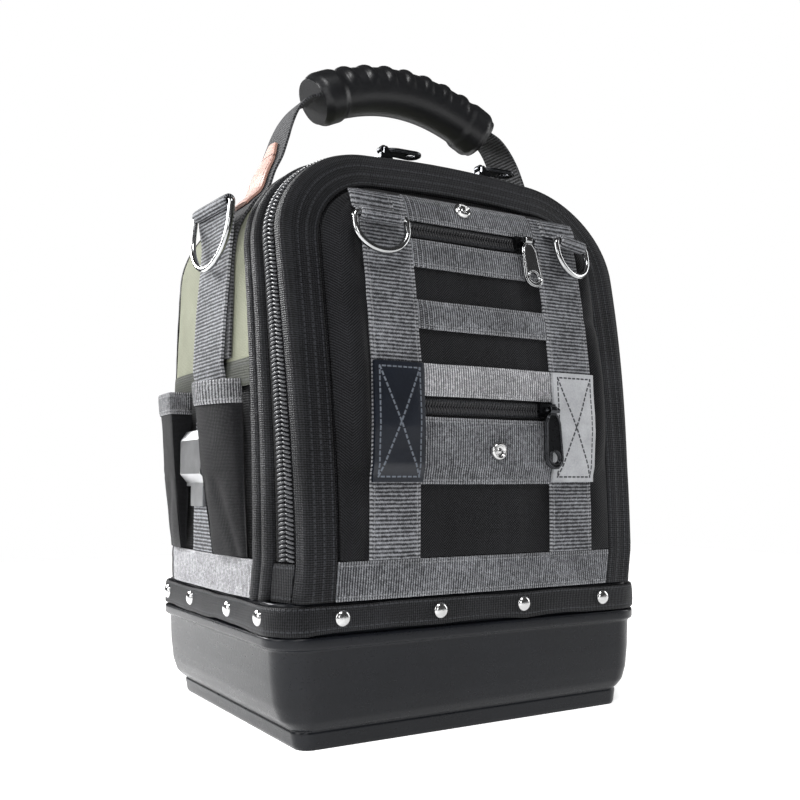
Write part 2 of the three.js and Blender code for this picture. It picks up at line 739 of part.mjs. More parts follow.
function zipSlider() {
  const deck = SLIDER_RISE - 2;
  const body = box(SLIDER_WIDTH, SLIDER_LENGTH, deck, 0, 0, deck / 2);
  const post = (x) => box(POST_WIDTH, POST_DEPTH, BRIDGE_HEIGHT, x, 0, BRIDGE_HEIGHT / 2 + 0.2);
  const bridge = rod(BRIDGE_RADIUS, SLIDER_WIDTH - 1);
  bridge.translate(0, 0, BRIDGE_HEIGHT);
  const reach = (SLIDER_WIDTH - POST_DEPTH) / 2;
  return union([body, post(-reach), post(reach), bridge]);
}

function ringShape(outer, hole) {
  const shape = new THREE.Shape().absarc(0, 0, outer, 0, 2 * Math.PI);
  shape.holes.push(new THREE.Path().absarc(0, 0, hole, 0, 2 * Math.PI, true));
  return shape;
}

function tube(outer, hole, width, segments = 6) {
  const geometry = new THREE.ExtrudeGeometry(ringShape(outer, hole), {
    depth: width, bevelEnabled: false, curveSegments: segments,
  });
  geometry.translate(0, 0, -width / 2);
  geometry.rotateY(Math.PI / 2);
  return weld(geometry);
}

function zipPull(length) {
  const half = PULL_WIDTH / 2;
  const neck = KNUCKLE_WIDTH / 2;
  const top = -KNUCKLE_RADIUS + 0.4;
  const shape = new THREE.Shape();
  shape.moveTo(neck, top);
  shape.lineTo(half * 0.8, top - 5);
  shape.lineTo(half, -length + half);
  shape.absarc(0, -length + half, half, 0, -Math.PI, true);
  shape.lineTo(-half * 0.8, top - 5);
  shape.lineTo(-neck, top);
  shape.closePath();
  shape.holes.push(new THREE.Path().absarc(0, -length + half, half * 0.55, 0, 2 * Math.PI, false));
  const options = { depth: PULL_THICK, bevelEnabled: false, curveSegments: 6 };
  const plate = new THREE.ExtrudeGeometry(shape, options);
  plate.translate(0, 0, -PULL_THICK / 2);
  return union([tube(KNUCKLE_RADIUS, KNUCKLE_HOLE, KNUCKLE_WIDTH, 5), weld(plate)]);
}

const SLIDER_X = { upper: 34, lower: 40 };
for (const [name, { middle }] of Object.entries(ZIP_ROWS)) {
  const slope = Math.min(faceSlope(middle), 0.25);
  const group = faceGroup(SLIDER_X[name], middle, ZIP_STRIP_THICK + 2 * GAP, slope);
  addMesh(`pocket_slider_${name}`, zipSlider(), MATERIALS.steel, group);
  const pull = addMesh(`pocket_pull_${name}`, zipPull(PULL_LENGTHS[name]), MATERIALS.steel, group);
  pull.position.z = BRIDGE_HEIGHT;
}

// D-ring: a straight bar along X with a round bow hanging below it
function dRing(width, drop) {
  const half = width / 2 + RING_WIRE;
  const centres = [new THREE.Vector2(-half, 0), new THREE.Vector2(half, 0)];
  const shoulder = drop * 0.3;
  for (const t of along(8)) {
    const angle = t * Math.PI;
    const fall = shoulder + (drop - shoulder) * Math.sin(angle);
    centres.push(new THREE.Vector2(half * Math.cos(angle), -fall));
  }
  const sides = 7;
  const count = centres.length;
  const rings = centres.map((c, i) => {
    const before = centres[(i + count - 1) % count];
    const after = centres[(i + 1) % count];
    const a = c.clone().sub(before).normalize();
    const b = after.clone().sub(c).normalize();
    const normal = new THREE.Vector2(-(a.y + b.y), a.x + b.x).normalize();
    const stretch = 1 / Math.max(0.6, normal.dot(new THREE.Vector2(-a.y, a.x)));
    return along(sides).slice(0, -1).map((t) => {
      const angle = t * 2 * Math.PI;
      const shift = normal.clone().multiplyScalar(RING_WIRE * stretch * Math.cos(angle));
      return new THREE.Vector3(c.x + shift.x, RING_WIRE * Math.sin(angle), c.y + shift.y);
    });
  });
  return loft(rings, null);
}

// Front D-rings hang from short webbing tabs at the tops of the front straps
const LOOP_HOLE = RING_WIRE + RING_PLAY;
const LOOP_RADIUS = LOOP_HOLE + WEB_THICK;
const FRONT_RING_Z = STRAP_TOP - 19;
const FRONT_RING_X = { left: STRAP_X + 7.4, right: STRAP_X + 3.9 };
const FRONT_RING_LIFT = { left: 4, right: 6.5 };
const FRONT_TAB = [
  { below: 19, reach: 0 },
  { below: 15.5, reach: 0.3 },
  { below: 11.5, reach: 1 },
  { below: 4.6, reach: 1 },
  { below: 1.5, reach: 1 },
];
const FRONT_RING_TURN = { left: 0, right: 0.3 };
for (const [name, side] of SIDES) {
  const centreX = side * FRONT_RING_X[name];
  const turn = FRONT_RING_TURN[name];
  const barY = pocketY(FRONT_RING_Z) - WEB_THICK - 2 * GAP - LOOP_RADIUS - FRONT_RING_LIFT[name];
  const group = new THREE.Group();
  group.position.set(centreX, barY, FRONT_RING_Z);
  group.rotation.set(-faceSlope(FRONT_RING_Z - 12), 0, turn, 'ZXY');
  root.add(group);
  const width = FRONT_RING_WIDTH - 3;
  const rows = FRONT_TAB.length - 1;
  const at = (u, v, out) => {
    const row = FRONT_TAB[Math.round(v * rows)];
    const z = STRAP_TOP - row.below;
    const across = (u - 0.5) * width;
    const loose = barY + LOOP_RADIUS + across * Math.sin(turn);
    const seated = pocketY(z) - WEB_THICK - 2 * GAP;
    const x = centreX + across * lerp(Math.cos(turn), 1, row.reach);
    return new THREE.Vector3(x, lerp(loose, seated, row.reach) - out, z);
  };
  const strip = sheet(1, rows, (u, v) => at(u, v, WEB_THICK * 1.2), (u, v) => at(u, v, 0));
  const place = (geometry) => {
    geometry.rotateZ(turn);
    geometry.translate(centreX, barY, FRONT_RING_Z);
    return toManifold(geometry);
  };
  const hole = place(rod(LOOP_HOLE, FRONT_RING_WIDTH + 8, 10));
  const tab = toManifold(strip).subtract(hole).add(place(tube(LOOP_RADIUS, LOOP_HOLE, width)));
  addMesh(`front_ring_tab_${name}`, fromManifold(tab), MATERIALS.webbing);
  addMesh(`front_ring_${name}`, dRing(FRONT_RING_WIDTH, FRONT_RING_DROP), MATERIALS.steel, group);
}

// Side straps run up the wall, stand off it near the top and fold round the side D-rings
const SIDE_RING_Z = BODY_TOP - 28.2;
const SIDE_RING_Y = HANDLE_Y;
const SIDE_RING_STAND = 9.761;
const SIDE_RING_X = sideX(SIDE_RING_Y, ARCH_SPRING, SIDE_RING_STAND);
const SIDE_RING_TURN = 0.07;
const SIDE_RING_TILT = 0.1;
const SIDE_STRAP = [
  { height: 0, lift: 0.9, shift: 1 },
  { height: 0.2, lift: 0.9, shift: 1 },
  { height: 0.4, lift: 1.2, shift: 1 },
  { height: 0.49, lift: 2.5, shift: 1 },
  { height: 0.54, lift: 5, shift: 0.96 },
  { height: 0.66, lift: 5, shift: 0.85 },
  { height: 0.78, lift: 5.2, shift: 0.55 },
  { height: 0.86, lift: 5.2, shift: 0.35 },
  { height: 0.9, lift: 5.2, shift: 0.2 },
  { height: 1, lift: 5.2, shift: 0 },
];
for (const [name, side] of SIDES) {
  const rows = SIDE_STRAP.length - 1;
  const topZ = SIDE_RING_Z - 1;
  const inward = side * (LOOP_RADIUS - SIDE_STRAP_THICK / 2);
  const at = (u, v, out) => {
    const row = SIDE_STRAP[Math.round(v * rows)];
    const z = lerp(BAND_TOP + SEAM, topZ, row.height);
    const centre = lerp(SIDE_RING_Y, SIDE_STRAP_Y, row.shift);
    const across = lerp(-SIDE_STRAP_WIDTH / 2, SIDE_STRAP_WIDTH / 2, u);
    const y = centre + across;
    const onSide = sideX(y, Math.min(z, ARCH_SPRING), row.lift);
    const turned = SIDE_RING_X - side * inward + Math.sin(SIDE_RING_TURN) * across;
    const blend = smooth(row.height, 0.9, 1);
    return new THREE.Vector3(side * (lerp(onSide, turned, blend) + out), y, z);
  };
  const strap = sheet(3, rows, (u, v) => at(u, v, SIDE_STRAP_THICK), (u, v) => at(u, v, 0));
  const turn = side * (Math.PI / 2 - SIDE_RING_TURN);
  const place = (geometry) => {
    geometry.rotateZ(turn);
    geometry.translate(side * SIDE_RING_X, SIDE_RING_Y, SIDE_RING_Z);
    return toManifold(geometry);
  };
  const width = SIDE_RING_WIDTH - 3;
  const roll = place(tube(LOOP_RADIUS, LOOP_HOLE, width));
  const hole = place(rod(LOOP_HOLE, SIDE_RING_WIDTH + 8, 10));
  const solid = toManifold(strap).subtract(hole).add(roll);
  addMesh(`side_strap_${name}`, fromManifold(solid), MATERIALS.webbing);
  const group = new THREE.Group();
  group.position.set(side * SIDE_RING_X, SIDE_RING_Y, SIDE_RING_Z);
  group.rotation.set(-SIDE_RING_TILT, 0, turn, 'ZXY');
  root.add(group);
  addMesh(`side_ring_${name}`, dRing(SIDE_RING_WIDTH, SIDE_RING_DROP), MATERIALS.steel, group);
}

// Handle straps: up the canvas under the side straps, over the shoulder and into the grip
const HANDLE_LIFT = SEAM + CANVAS_THICK + 2 * GAP;
const HANDLE_ANGLES = [0, 16, 31, 43].map((degrees) => THREE.MathUtils.degToRad(degrees));
const HANDLE_LOW = [61.8, 44.8, 22.8];
// Free run of the strap: how far in from the body's half width, and how far above the body's top
const HANDLE_FREE = [
  [15.9, -4.2], [20.9, 6.3], [24.9, 17.8], [28.9, 29.8], [33.9, 40.3], [40.9, 48.8], [48.9, 53.2], [56.9, 57.2],
];
const HANDLE_WIDTHS = [38, 38, 38, 38, 38, 38, 38, 38, 38, 36, 33, 29, 26, 24, 24];

function handlePath() {
  const reach = (z) => bulge(HANDLE_Y, z) + HANDLE_LIFT;
  const low = HANDLE_LOW.map((below) => ARCH_SPRING - below)
    .map((z) => new THREE.Vector2(halfWidth(z) + reach(z), z));
  const arc = HANDLE_ANGLES.map((angle) => {
    const z = ARCH_SPRING + ARCH_HEIGHT * Math.sin(angle);
    const x = halfWidth(ARCH_SPRING) - ARCH_WIDTH * (1 - Math.cos(angle));
    return new THREE.Vector2(x + Math.cos(angle) * reach(z), z + Math.sin(angle) * reach(z));
  });
  const free = HANDLE_FREE.map(([inset, rise]) => new THREE.Vector2(BODY_HALF_HIGH - inset, BODY_TOP + rise));
  return [...low, ...arc, ...free];
}
const HANDLE_PATH = handlePath();

// A layer along the handle's path, between two of its points, at a height above it
function handleLayer(side, from, to, lift, thick, widthAt) {
  const rows = to - from;
  const at = (u, v, out) => {
    const i = from + Math.round(v * rows);
    const before = HANDLE_PATH[Math.max(i - 1, 0)];
    const after = HANDLE_PATH[Math.min(i + 1, HANDLE_PATH.length - 1)];
    const forward = after.clone().sub(before).normalize();
    const point = HANDLE_PATH[i].clone().add(new THREE.Vector2(forward.y, -forward.x).multiplyScalar(out));
    return new THREE.Vector3(side * point.x, HANDLE_Y + (u - 0.5) * widthAt(i), point.y);
  };
  return sheet(2, rows, (u, v) => at(u, v, lift + thick), (u, v) => at(u, v, lift));
}

const LAST = HANDLE_PATH.length - 1;
const TIP_WIDTHS = [26, 26, 26, 22, 12];
const TIP_START = 5;
const TIP_THICK = 1.8;
const SLOT_WIDTH = 26;
const SLOT_PLAY = GAP + 0.2;
const slots = [];
for (const [name, side] of SIDES) {
  const strap = handleLayer(side, 0, LAST, 0, HANDLE_STRAP_THICK, (i) => HANDLE_WIDTHS[i]);
  addMesh(`handle_strap_${name}`, strap, MATERIALS.blackWebbing);
  const lift = HANDLE_STRAP_THICK + 2 * GAP;
  const tip = handleLayer(side, TIP_START, TIP_START + 4, lift, TIP_THICK, (i) => TIP_WIDTHS[i - TIP_START]);
  addMesh(`handle_patch_${name}`, tip, MATERIALS.tanLeather);
  const height = HANDLE_STRAP_THICK + 2 * SLOT_PLAY;
  const slot = handleLayer(side, LAST - 2, LAST, -SLOT_PLAY, height, () => SLOT_WIDTH);
  slots.push(toManifold(slot));
}

// Grip: a bent round bar with finger ribs on top and a thicker collar at each end
const GRIP_SIDES = 16;
const GRIP_RIBS = 8;
const RIB_RISE = 2.2;
const END_TAPER = 2.5;
function handleGrip() {
  const rings = along(44).map((t) => {
    const share = 2 * t - 1;
    const x = share * GRIP_HALF;
    const z = GRIP_TOP_Z - GRIP_SAG * share * share;
    const slope = Math.atan2(-2 * GRIP_SAG * share, GRIP_HALF);
    const inRibs = 1 - smooth(Math.abs(share), 0.72, 0.82);
    const rib = Math.max(0, Math.cos(share * GRIP_RIBS * Math.PI / 0.85)) * inRibs;
    const end = smooth(Math.abs(share), 0.93, 1);
    return along(GRIP_SIDES).slice(0, -1).map((turn) => {
      const angle = turn * 2 * Math.PI;
      const upper = Math.max(0, Math.sin(angle));
      const swell = RIB_RISE * Math.max(rib * upper, 1 - inRibs);
      const radius = GRIP_RADIUS - RIB_RISE + swell - END_TAPER * end * end;
      const up = radius * Math.sin(angle);
      const y = HANDLE_Y + radius * Math.cos(angle);
      return new THREE.Vector3(x - up * Math.sin(slope), y, z + up * Math.cos(slope));
    });
  });
  const caps = outlineCaps(rings[0].map((p) => [p.y, p.z]));
  return slots.reduce((solid, slot) => solid.subtract(slot), toManifold(loft(rings, caps)));
}
addMesh('handle_grip', fromManifold(handleGrip()), MATERIALS.rubber);

// Pockets on the left side: walls that stand off the body, flat at the bottom, open at the mouth
const MOUTH_BAND = 13.5;
const MOUTH_RISE = 1;
const SIDE_POCKETS = {
  front: {
    top: 201, bottom: 99.8, mouthY: [-44, -5], footY: [-56.2, -19], stand: [3, 13], lift: [2.3, 5],
    plan: [[0, 0], [0.1, 0.4], [0.35, 0.75], [0.7, 0.98], [0.94, 1], [1, 0.86], [0.99, 0.4], [0.98, 0]],
  },
  rear: {
    top: 199, bottom: 99.8, mouthY: [38, 80], footY: [43, 77], stand: [3.5, 15], lift: [2.4, 2.4],
    plan: [[0, 0], [0, 0.45], [0.01, 0.86], [0.07, 1], [0.4, 1], [0.75, 0.88], [0.93, 0.55], [1, 0]],
  },
};
const POCKET_ROWS = [0, 0.2, 0.45, 0.7, 0.86, 0.87, 1];

function sidePocket(pocket) {
  const { plan } = pocket;
  const columns = plan.length - 1;
  const rows = POCKET_ROWS.length - 1;
  const planPoint = (c, v) => {
    const [share, stand] = plan[c];
    const start = lerp(pocket.footY[0], pocket.mouthY[0], v);
    const end = lerp(pocket.footY[1], pocket.mouthY[1], v);
    const y = lerp(start, end, share);
    const z = lerp(pocket.bottom, pocket.top, v);
    const out = lerp(...pocket.lift, share) + stand * lerp(...pocket.stand, v ** 0.8);
    return new THREE.Vector2(y, sideX(y, z, out));
  };
  const at = (u, v, depth) => {
    const c = Math.round(u * columns);
    const height = POCKET_ROWS[Math.round(v * rows)];
    const before = planPoint(Math.max(c - 1, 0), height);
    const after = planPoint(Math.min(c + 1, columns), height);
    const tangent = after.sub(before).normalize();
    const seam = c === 0 || c === columns;
    const band = height > 0.865 && !seam ? MOUTH_RISE : 0;
    const inward = new THREE.Vector2(tangent.y, -tangent.x).multiplyScalar(depth - band);
    const point = planPoint(c, height).add(seam ? new THREE.Vector2(c === 0 ? depth : -depth, 0) : inward);
    return new THREE.Vector3(-point.y, point.x, lerp(pocket.bottom, pocket.top, height));
  };
  return sheet(columns, rows, (u, v) => at(u, v, 0), (u, v) => at(u, v, POCKET_WALL));
}
for (const [name, pocket] of Object.entries(SIDE_POCKETS)) {
  addMesh(`side_pocket_${name}`, sidePocket(pocket), MATERIALS.cloth);
}

// Tape clip: a bent plate on the side strap, with a narrow leg below
const CLIP_LEG_WIDTH = 22;
const CLIP_LEG = [[0, 127], [0, 141]];
const CLIP_PLATE = [[0, 139.5], [0, 141.5], [4.6, 147], [4.6, 168], [0.8, 174]];

// How far the side strap's outer face stands out, and the clip's seat on it
function strapFace(y, z) {
  const height = (z - BAND_TOP - SEAM) / (SIDE_RING_Z - 1 - BAND_TOP - SEAM);
  const upper = clamp(SIDE_STRAP.findIndex((row) => row.height >= height), 1, SIDE_STRAP.length - 1);
  const [low, high] = [SIDE_STRAP[upper - 1], SIDE_STRAP[upper]];
  const share = (height - low.height) / (high.height - low.height);
  return sideX(y, z, lerp(low.lift, high.lift, share) + SIDE_STRAP_THICK);
}

function clipSeat() {
  const strapEdge = SIDE_STRAP_Y + SIDE_STRAP_WIDTH / 2;
  const places = [CLIP_Y - CLIP_WIDTH / 2, SIDE_STRAP_Y, strapEdge];
  const heights = [CLIP_LEG[0][1], CLIP_PLATE[1][1], CLIP_PLATE.at(-1)[1]];
  return Math.max(...places.flatMap((y) => heights.map((z) => strapFace(y, z)))) + GAP;
}
const CLIP_SEAT = clipSeat();

function bentPlate(path, width) {
  const outline = [...path.map(([a, z]) => [a + CLIP_THICK, z]), ...path.map(([a, z]) => [a, z]).reverse()];
  const ends = [CLIP_Y - width / 2, CLIP_Y + width / 2];
  return sweep(outline, ends, (y, a, z) => new THREE.Vector3(-CLIP_SEAT - a, y, z));
}
const clip = union([bentPlate(CLIP_LEG, CLIP_LEG_WIDTH), bentPlate(CLIP_PLATE, CLIP_WIDTH)]);
addMesh('tape_clip', clip, MATERIALS.steel);

// Two sliders on the main zip, on top of the bag, with their pulls lying along it
const MAIN_SLIDER_X = { left: -42, right: 32 };
for (const [name, x] of Object.entries(MAIN_SLIDER_X)) {
  const y = frontEdge(BODY_TOP) + ZIP_START + ZIP_WIDTH / 2;
  const group = new THREE.Group();
  group.position.set(x, y, BODY_TOP - 0.6 + bulge(y, BODY_TOP) + ZIP_THICK + GAP);
  group.rotation.z = Math.PI / 2;
  root.add(group);
  addMesh(`main_slider_${name}`, zipSlider(), MATERIALS.steel, group);
  const pull = addMesh(`main_pull_${name}`, zipPull(PULL_LENGTHS.main), MATERIALS.steel, group);
  pull.position.z = BRIDGE_HEIGHT;
}

export default root;
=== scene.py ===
# Tool backpack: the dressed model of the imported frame. Lengths are in millimetres until a mesh is made.
import math

import bmesh
import bpy
import numpy as np
from mathutils import Matrix, Vector, noise


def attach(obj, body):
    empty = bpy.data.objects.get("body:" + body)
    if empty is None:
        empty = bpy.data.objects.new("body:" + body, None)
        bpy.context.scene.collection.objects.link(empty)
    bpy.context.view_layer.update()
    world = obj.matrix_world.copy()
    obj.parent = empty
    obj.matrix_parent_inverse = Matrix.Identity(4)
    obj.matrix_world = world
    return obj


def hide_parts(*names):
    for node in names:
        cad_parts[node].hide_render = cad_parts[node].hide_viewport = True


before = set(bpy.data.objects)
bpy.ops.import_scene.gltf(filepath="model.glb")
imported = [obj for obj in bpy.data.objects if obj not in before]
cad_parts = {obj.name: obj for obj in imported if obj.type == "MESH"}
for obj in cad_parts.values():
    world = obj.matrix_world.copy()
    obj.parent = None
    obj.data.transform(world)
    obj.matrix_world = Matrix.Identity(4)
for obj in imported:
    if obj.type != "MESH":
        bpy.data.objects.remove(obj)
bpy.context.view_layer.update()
MM = 0.001
SIDES = (("left", -1), ("right", 1))

# Camera
CAMERA_PLACE = (-0.3354, -0.5682, 0.1407)
CAMERA_YAW = 0.5400
CAMERA_PITCH = 0.0861
CAMERA_ROLL = -0.0022
FOCAL_PIXELS = 968.2
PHOTO_SIDE = 800
SENSOR = 36.0


def add_camera():
    data = bpy.data.cameras.new("camera")
    data.sensor_width = SENSOR
    data.lens = FOCAL_PIXELS / PHOTO_SIDE * SENSOR
    data.clip_start = 0.01
    camera = bpy.data.objects.new("camera", data)
    bpy.context.scene.collection.objects.link(camera)
    forward = Vector((
        math.sin(CAMERA_YAW) * math.cos(CAMERA_PITCH),
        math.cos(CAMERA_YAW) * math.cos(CAMERA_PITCH),
        math.sin(CAMERA_PITCH),
    ))
    right = Vector((math.cos(CAMERA_YAW), -math.sin(CAMERA_YAW), 0))
    up = right.cross(forward)
    turned = right * math.cos(CAMERA_ROLL) + up * math.sin(CAMERA_ROLL)
    top = -right * math.sin(CAMERA_ROLL) + up * math.cos(CAMERA_ROLL)
    matrix = Matrix((turned, top, -forward)).transposed().to_4x4()
    matrix.translation = Vector(CAMERA_PLACE)
    camera.matrix_world = matrix
    bpy.context.scene.camera = camera


add_camera()


# Named sizes, the same as the frame's source
GAP = 0.3
SEAM = 0.8
BASE_WIDTH, BASE_DEPTH, BASE_CORNER = 260, 205, 22
LIP_TOP, RIM_INSET, RIM_TOP = 60, 3, 77.5
FOOT_INSET_X, FOOT_INSET_Y = 16.5, 8.5
SKIRT_TOP, RIVET_HEIGHT, RIVET_RADIUS = 76.5, 69.2, 4.6
FRONT_RIVET_X = (92.2, 29.7)
SIDE_RIVET_Y = (77.4, 32.2)
BODY_BOTTOM = RIM_TOP + GAP
BODY_TOP = 337.2
BODY_HEIGHT = BODY_TOP - BODY_BOTTOM
BODY_HALF_LOW, BODY_HALF_HIGH = 114.2, 116.9
ARCH_WIDTH, ARCH_HEIGHT, CROWN_RISE = 58.7, 57.9, 2.5
EDGE_DEPTH, BACK_DEPTH, EDGE_LEAN = 103.2, 101, 33.8
ARCH_SPRING = BODY_TOP - CROWN_RISE - ARCH_HEIGHT
BINDING_WIDTH, BINDING_THICK, BINDING_RETURN = 18, 1.6, 4.4
ZIP_START, ZIP_WIDTH, ZIP_THICK = 5.6, 12, 3
PIPING_START, PIPING_WIDTH, PIPING_THICK = 22, 18, 4.6
CANVAS_START = PIPING_START + PIPING_WIDTH + GAP
CANVAS_END = BINDING_RETURN + 1.2
BACK_TAB_END = 26
CANVAS_BOTTOM = 198
BAND_BOTTOM, BAND_TOP, FRONT_BAND_HALF = BODY_BOTTOM, 99, 95.8
POCKET_BOTTOM, POCKET_TOP = BAND_TOP + 2 * GAP, 314
WEB_THICK, STRAP_WIDTH, STRAP_X = 1.6, 32, 62.6
PATCH_BOTTOM, PATCH_TOP = 141.5, 208


def lerp(a, b, t):
    return a + (b - a) * t


def clamp(value, low=0.0, high=1.0):
    return max(low, min(high, value))


def smooth(value, low, high):
    t = clamp((value - low) / (high - low))
    return t * t * (3 - 2 * t)


def half_width(z):
    share = clamp((z - BODY_BOTTOM) / BODY_HEIGHT)
    return lerp(BODY_HALF_LOW, BODY_HALF_HIGH, smooth(share, 0, 0.7))


def lean(z):
    share = clamp((z - BAND_TOP) / (BODY_TOP - BAND_TOP))
    hem = clamp((BAND_TOP - z) / (BAND_TOP - BODY_BOTTOM))
    return EDGE_LEAN * (0.11 * share + 0.89 * share * share) + 3 * hem


def front_edge(z):
    return -EDGE_DEPTH + lean(z)


def back_edge(z):
    return BACK_DEPTH - lean(z)


# How square the wall's swell is in front of the middle and behind it
BULGE_POWER_FRONT, BULGE_POWER_REAR = 3.2, 6


def bulge(y, z):
    share = clamp((z - BODY_BOTTOM) / BODY_HEIGHT)
    rim_bulge = BASE_WIDTH / 2 - RIM_INSET + 0.8 - BODY_HALF_LOW
    amount = rim_bulge * (1 - 0.45 * smooth(share, 0, 0.85))
    crown = 1 - 0.75 * smooth(share, 0.78, 1)
    side = abs(2 * y / (EDGE_DEPTH + BACK_DEPTH))
    power = BULGE_POWER_FRONT if y < 0 else BULGE_POWER_REAR
    return amount * crown * (1 - clamp(side) ** power)


def side_x(y, z, out):
    return half_width(z) + bulge(y, z) + out


# The arch as one path: t runs 0 to 1 from the left foot over the top to the right foot
def arch_table(bottom, side_steps=24, arch_steps=16, top_steps=8):
    left = []
    for i in range(side_steps):
        z = lerp(bottom, ARCH_SPRING, i / side_steps)
        left.append((-half_width(z), z, -1.0, 0.0))
    flat = half_width(ARCH_SPRING) - ARCH_WIDTH
    for i in range(arch_steps):
        angle = i / arch_steps * math.pi / 2
        left.append((
            -flat - ARCH_WIDTH * math.cos(angle),
            ARCH_SPRING + ARCH_HEIGHT * math.sin(angle),
            -math.cos(angle),
            math.sin(angle),
        ))
    for i in range(top_steps):
        share = 1 - i / top_steps
        tilt = 0.09 * share * smooth(share, 0, 0.3)
        left.append((-flat * share, BODY_TOP - CROWN_RISE * share ** 2, -tilt, math.sqrt(1 - tilt * tilt)))
    right = [(-x, z, -nx, nz) for x, z, nx, nz in reversed(left)]
    return left + [(0.0, BODY_TOP, 0.0, 1.0)] + right


def path_lengths(points):
    """How far along the path each point lies."""
    lengths = [0.0]
    for a, b in zip(points, points[1:]):
        lengths.append(lengths[-1] + math.hypot(b[0] - a[0], b[1] - a[1]))
    return lengths


def on_wall(station, y, out):
    x, z, nx, nz = station
    reach = out + bulge(y, z)
    return Vector((x + nx * reach, y, z + nz * reach))


# Front pocket's face, smoothed between the rows that the frame uses
POCKET_STAND = 14
POCKET_ROWS = (
    (0, 0.22), (0.12, 0.32), (0.188, 0.37), (0.215, 0.42), (0.24, 0.56), (0.34, 0.76), (0.505, 0.93),
    (0.65, 0.99), (0.68, 0.95), (0.71, 0.99), (0.86, 1.02), (0.92, 1.0), (0.96, 0.9), (0.985, 0.72),
    (1, 0.42),
)


def pocket_y(z):
    share = clamp((z - POCKET_BOTTOM) / (POCKET_TOP - POCKET_BOTTOM))
    heights = [row[0] for row in POCKET_ROWS]
    ys = []
    for height, stand in POCKET_ROWS:
        at = lerp(POCKET_BOTTOM, POCKET_TOP, height)
        ys.append(front_edge(at) - stand * POCKET_STAND)
    return float(np.interp(share, heights, ys))


# Meshes
SHEET_SHARP = 40


def shade_smooth(mesh, sharp):
    """Smooth faces, with sharp edges over that angle in degrees unless it is None."""
    mesh.polygons.foreach_set("use_smooth", [True] * len(mesh.polygons))
    if sharp:
        mesh.set_sharp_from_angle(angle=math.radians(sharp))


def make_object(name, points, faces, uvs=None, material=None, sharp=None, body="bag"):
    mesh = bpy.data.meshes.new(name)
    mesh.from_pydata([tuple(Vector(p) * MM) for p in points], [], faces)
    if uvs is not None:
        layer = mesh.uv_layers.new(name="UVMap")
        loop_uvs = [uvs[loop.vertex_index] for loop in mesh.loops]
        layer.data.foreach_set("uv", [value for uv in loop_uvs for value in uv])
    mesh.validate()
    shade_smooth(mesh, sharp)
    obj = bpy.data.objects.new(name, mesh)
    bpy.context.scene.collection.objects.link(obj)
    if material:
        mesh.materials.append(material)
    edit = bmesh.new()
    edit.from_mesh(mesh)
    bmesh.ops.recalc_face_normals(edit, faces=edit.faces)
    edit.to_mesh(mesh)
    edit.free()
    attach(obj, body)
    return obj


def finish_piece(obj, replaced=()):
    if replaced:
        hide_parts(*replaced)
    return obj


def sheet_mesh(name, columns, rows, outer, inner, uv, material):
    """A thin wall over a grid of columns by rows; uv(u, v) gives its place on the cloth in millimetres."""
    points, uvs, faces = [], [], []
    for skin in (outer, inner):
        for r in range(rows + 1):
            for c in range(columns + 1):
                u, v = c / columns, r / rows
                points.append(skin(u, v))
                uvs.append(tuple(value * 0.01 for value in uv(u, v)))
    width = columns + 1
    layer = width * (rows + 1)
    for r in range(rows):
        for c in range(columns):
            a = r * width + c
            faces.append((a, a + 1, a + 1 + width, a + width))
            b = a + layer
            faces.append((b, b + width, b + 1 + width, b + 1))
    edge = [c for c in range(width)]
    edge += [r * width + columns for r in range(1, rows + 1)]
    edge += [rows * width + c for c in range(columns - 1, -1, -1)]
    edge += [r * width for r in range(rows - 1, 0, -1)]
    for a, b in zip(edge, edge[1:] + edge[:1]):
        faces.append((b, a, a + layer, b + layer))
    return make_object(name, points, faces, uvs, material, SHEET_SHARP)


def layer_mesh(name, columns, rows, at, high, low, uv, material):
    """A sheet between the depths high and low of the surface at(u, v, depth)."""
    return sheet_mesh(name, columns, rows, lambda u, v: at(u, v, high),
                      lambda u, v: at(u, v, low), uv, material)


def ring_faces(rings, sides, closed=False):
    """Quads between rings of points, with both ends capped unless the rings join up."""
    faces = []
    for r in range(rings if closed else rings - 1):
        after = (r + 1) % rings
        for s in range(sides):
            n = (s + 1) % sides
            faces.append((r * sides + s, r * sides + n, after * sides + n, after * sides + s))
    if not closed:
        faces.append(tuple(range(sides - 1, -1, -1)))
        faces.append(tuple((rings - 1) * sides + s for s in range(sides)))
    return faces


def sweep_mesh(name, section, stations, place, lengths, material, sharp=None, closed_path=False):
    """A section of points carried along stations; uv runs along the section and along the path."""
    points, uvs = [], []
    around = path_lengths(section)
    for s, length in zip(stations, lengths):
        for (a, b), across in zip(section, around):
            points.append(place(s, a, b))
            uvs.append((across * 0.01, length * 0.01))
    faces = ring_faces(len(stations), len(section), closed_path)
    return make_object(name, points, faces, uvs, material, sharp)


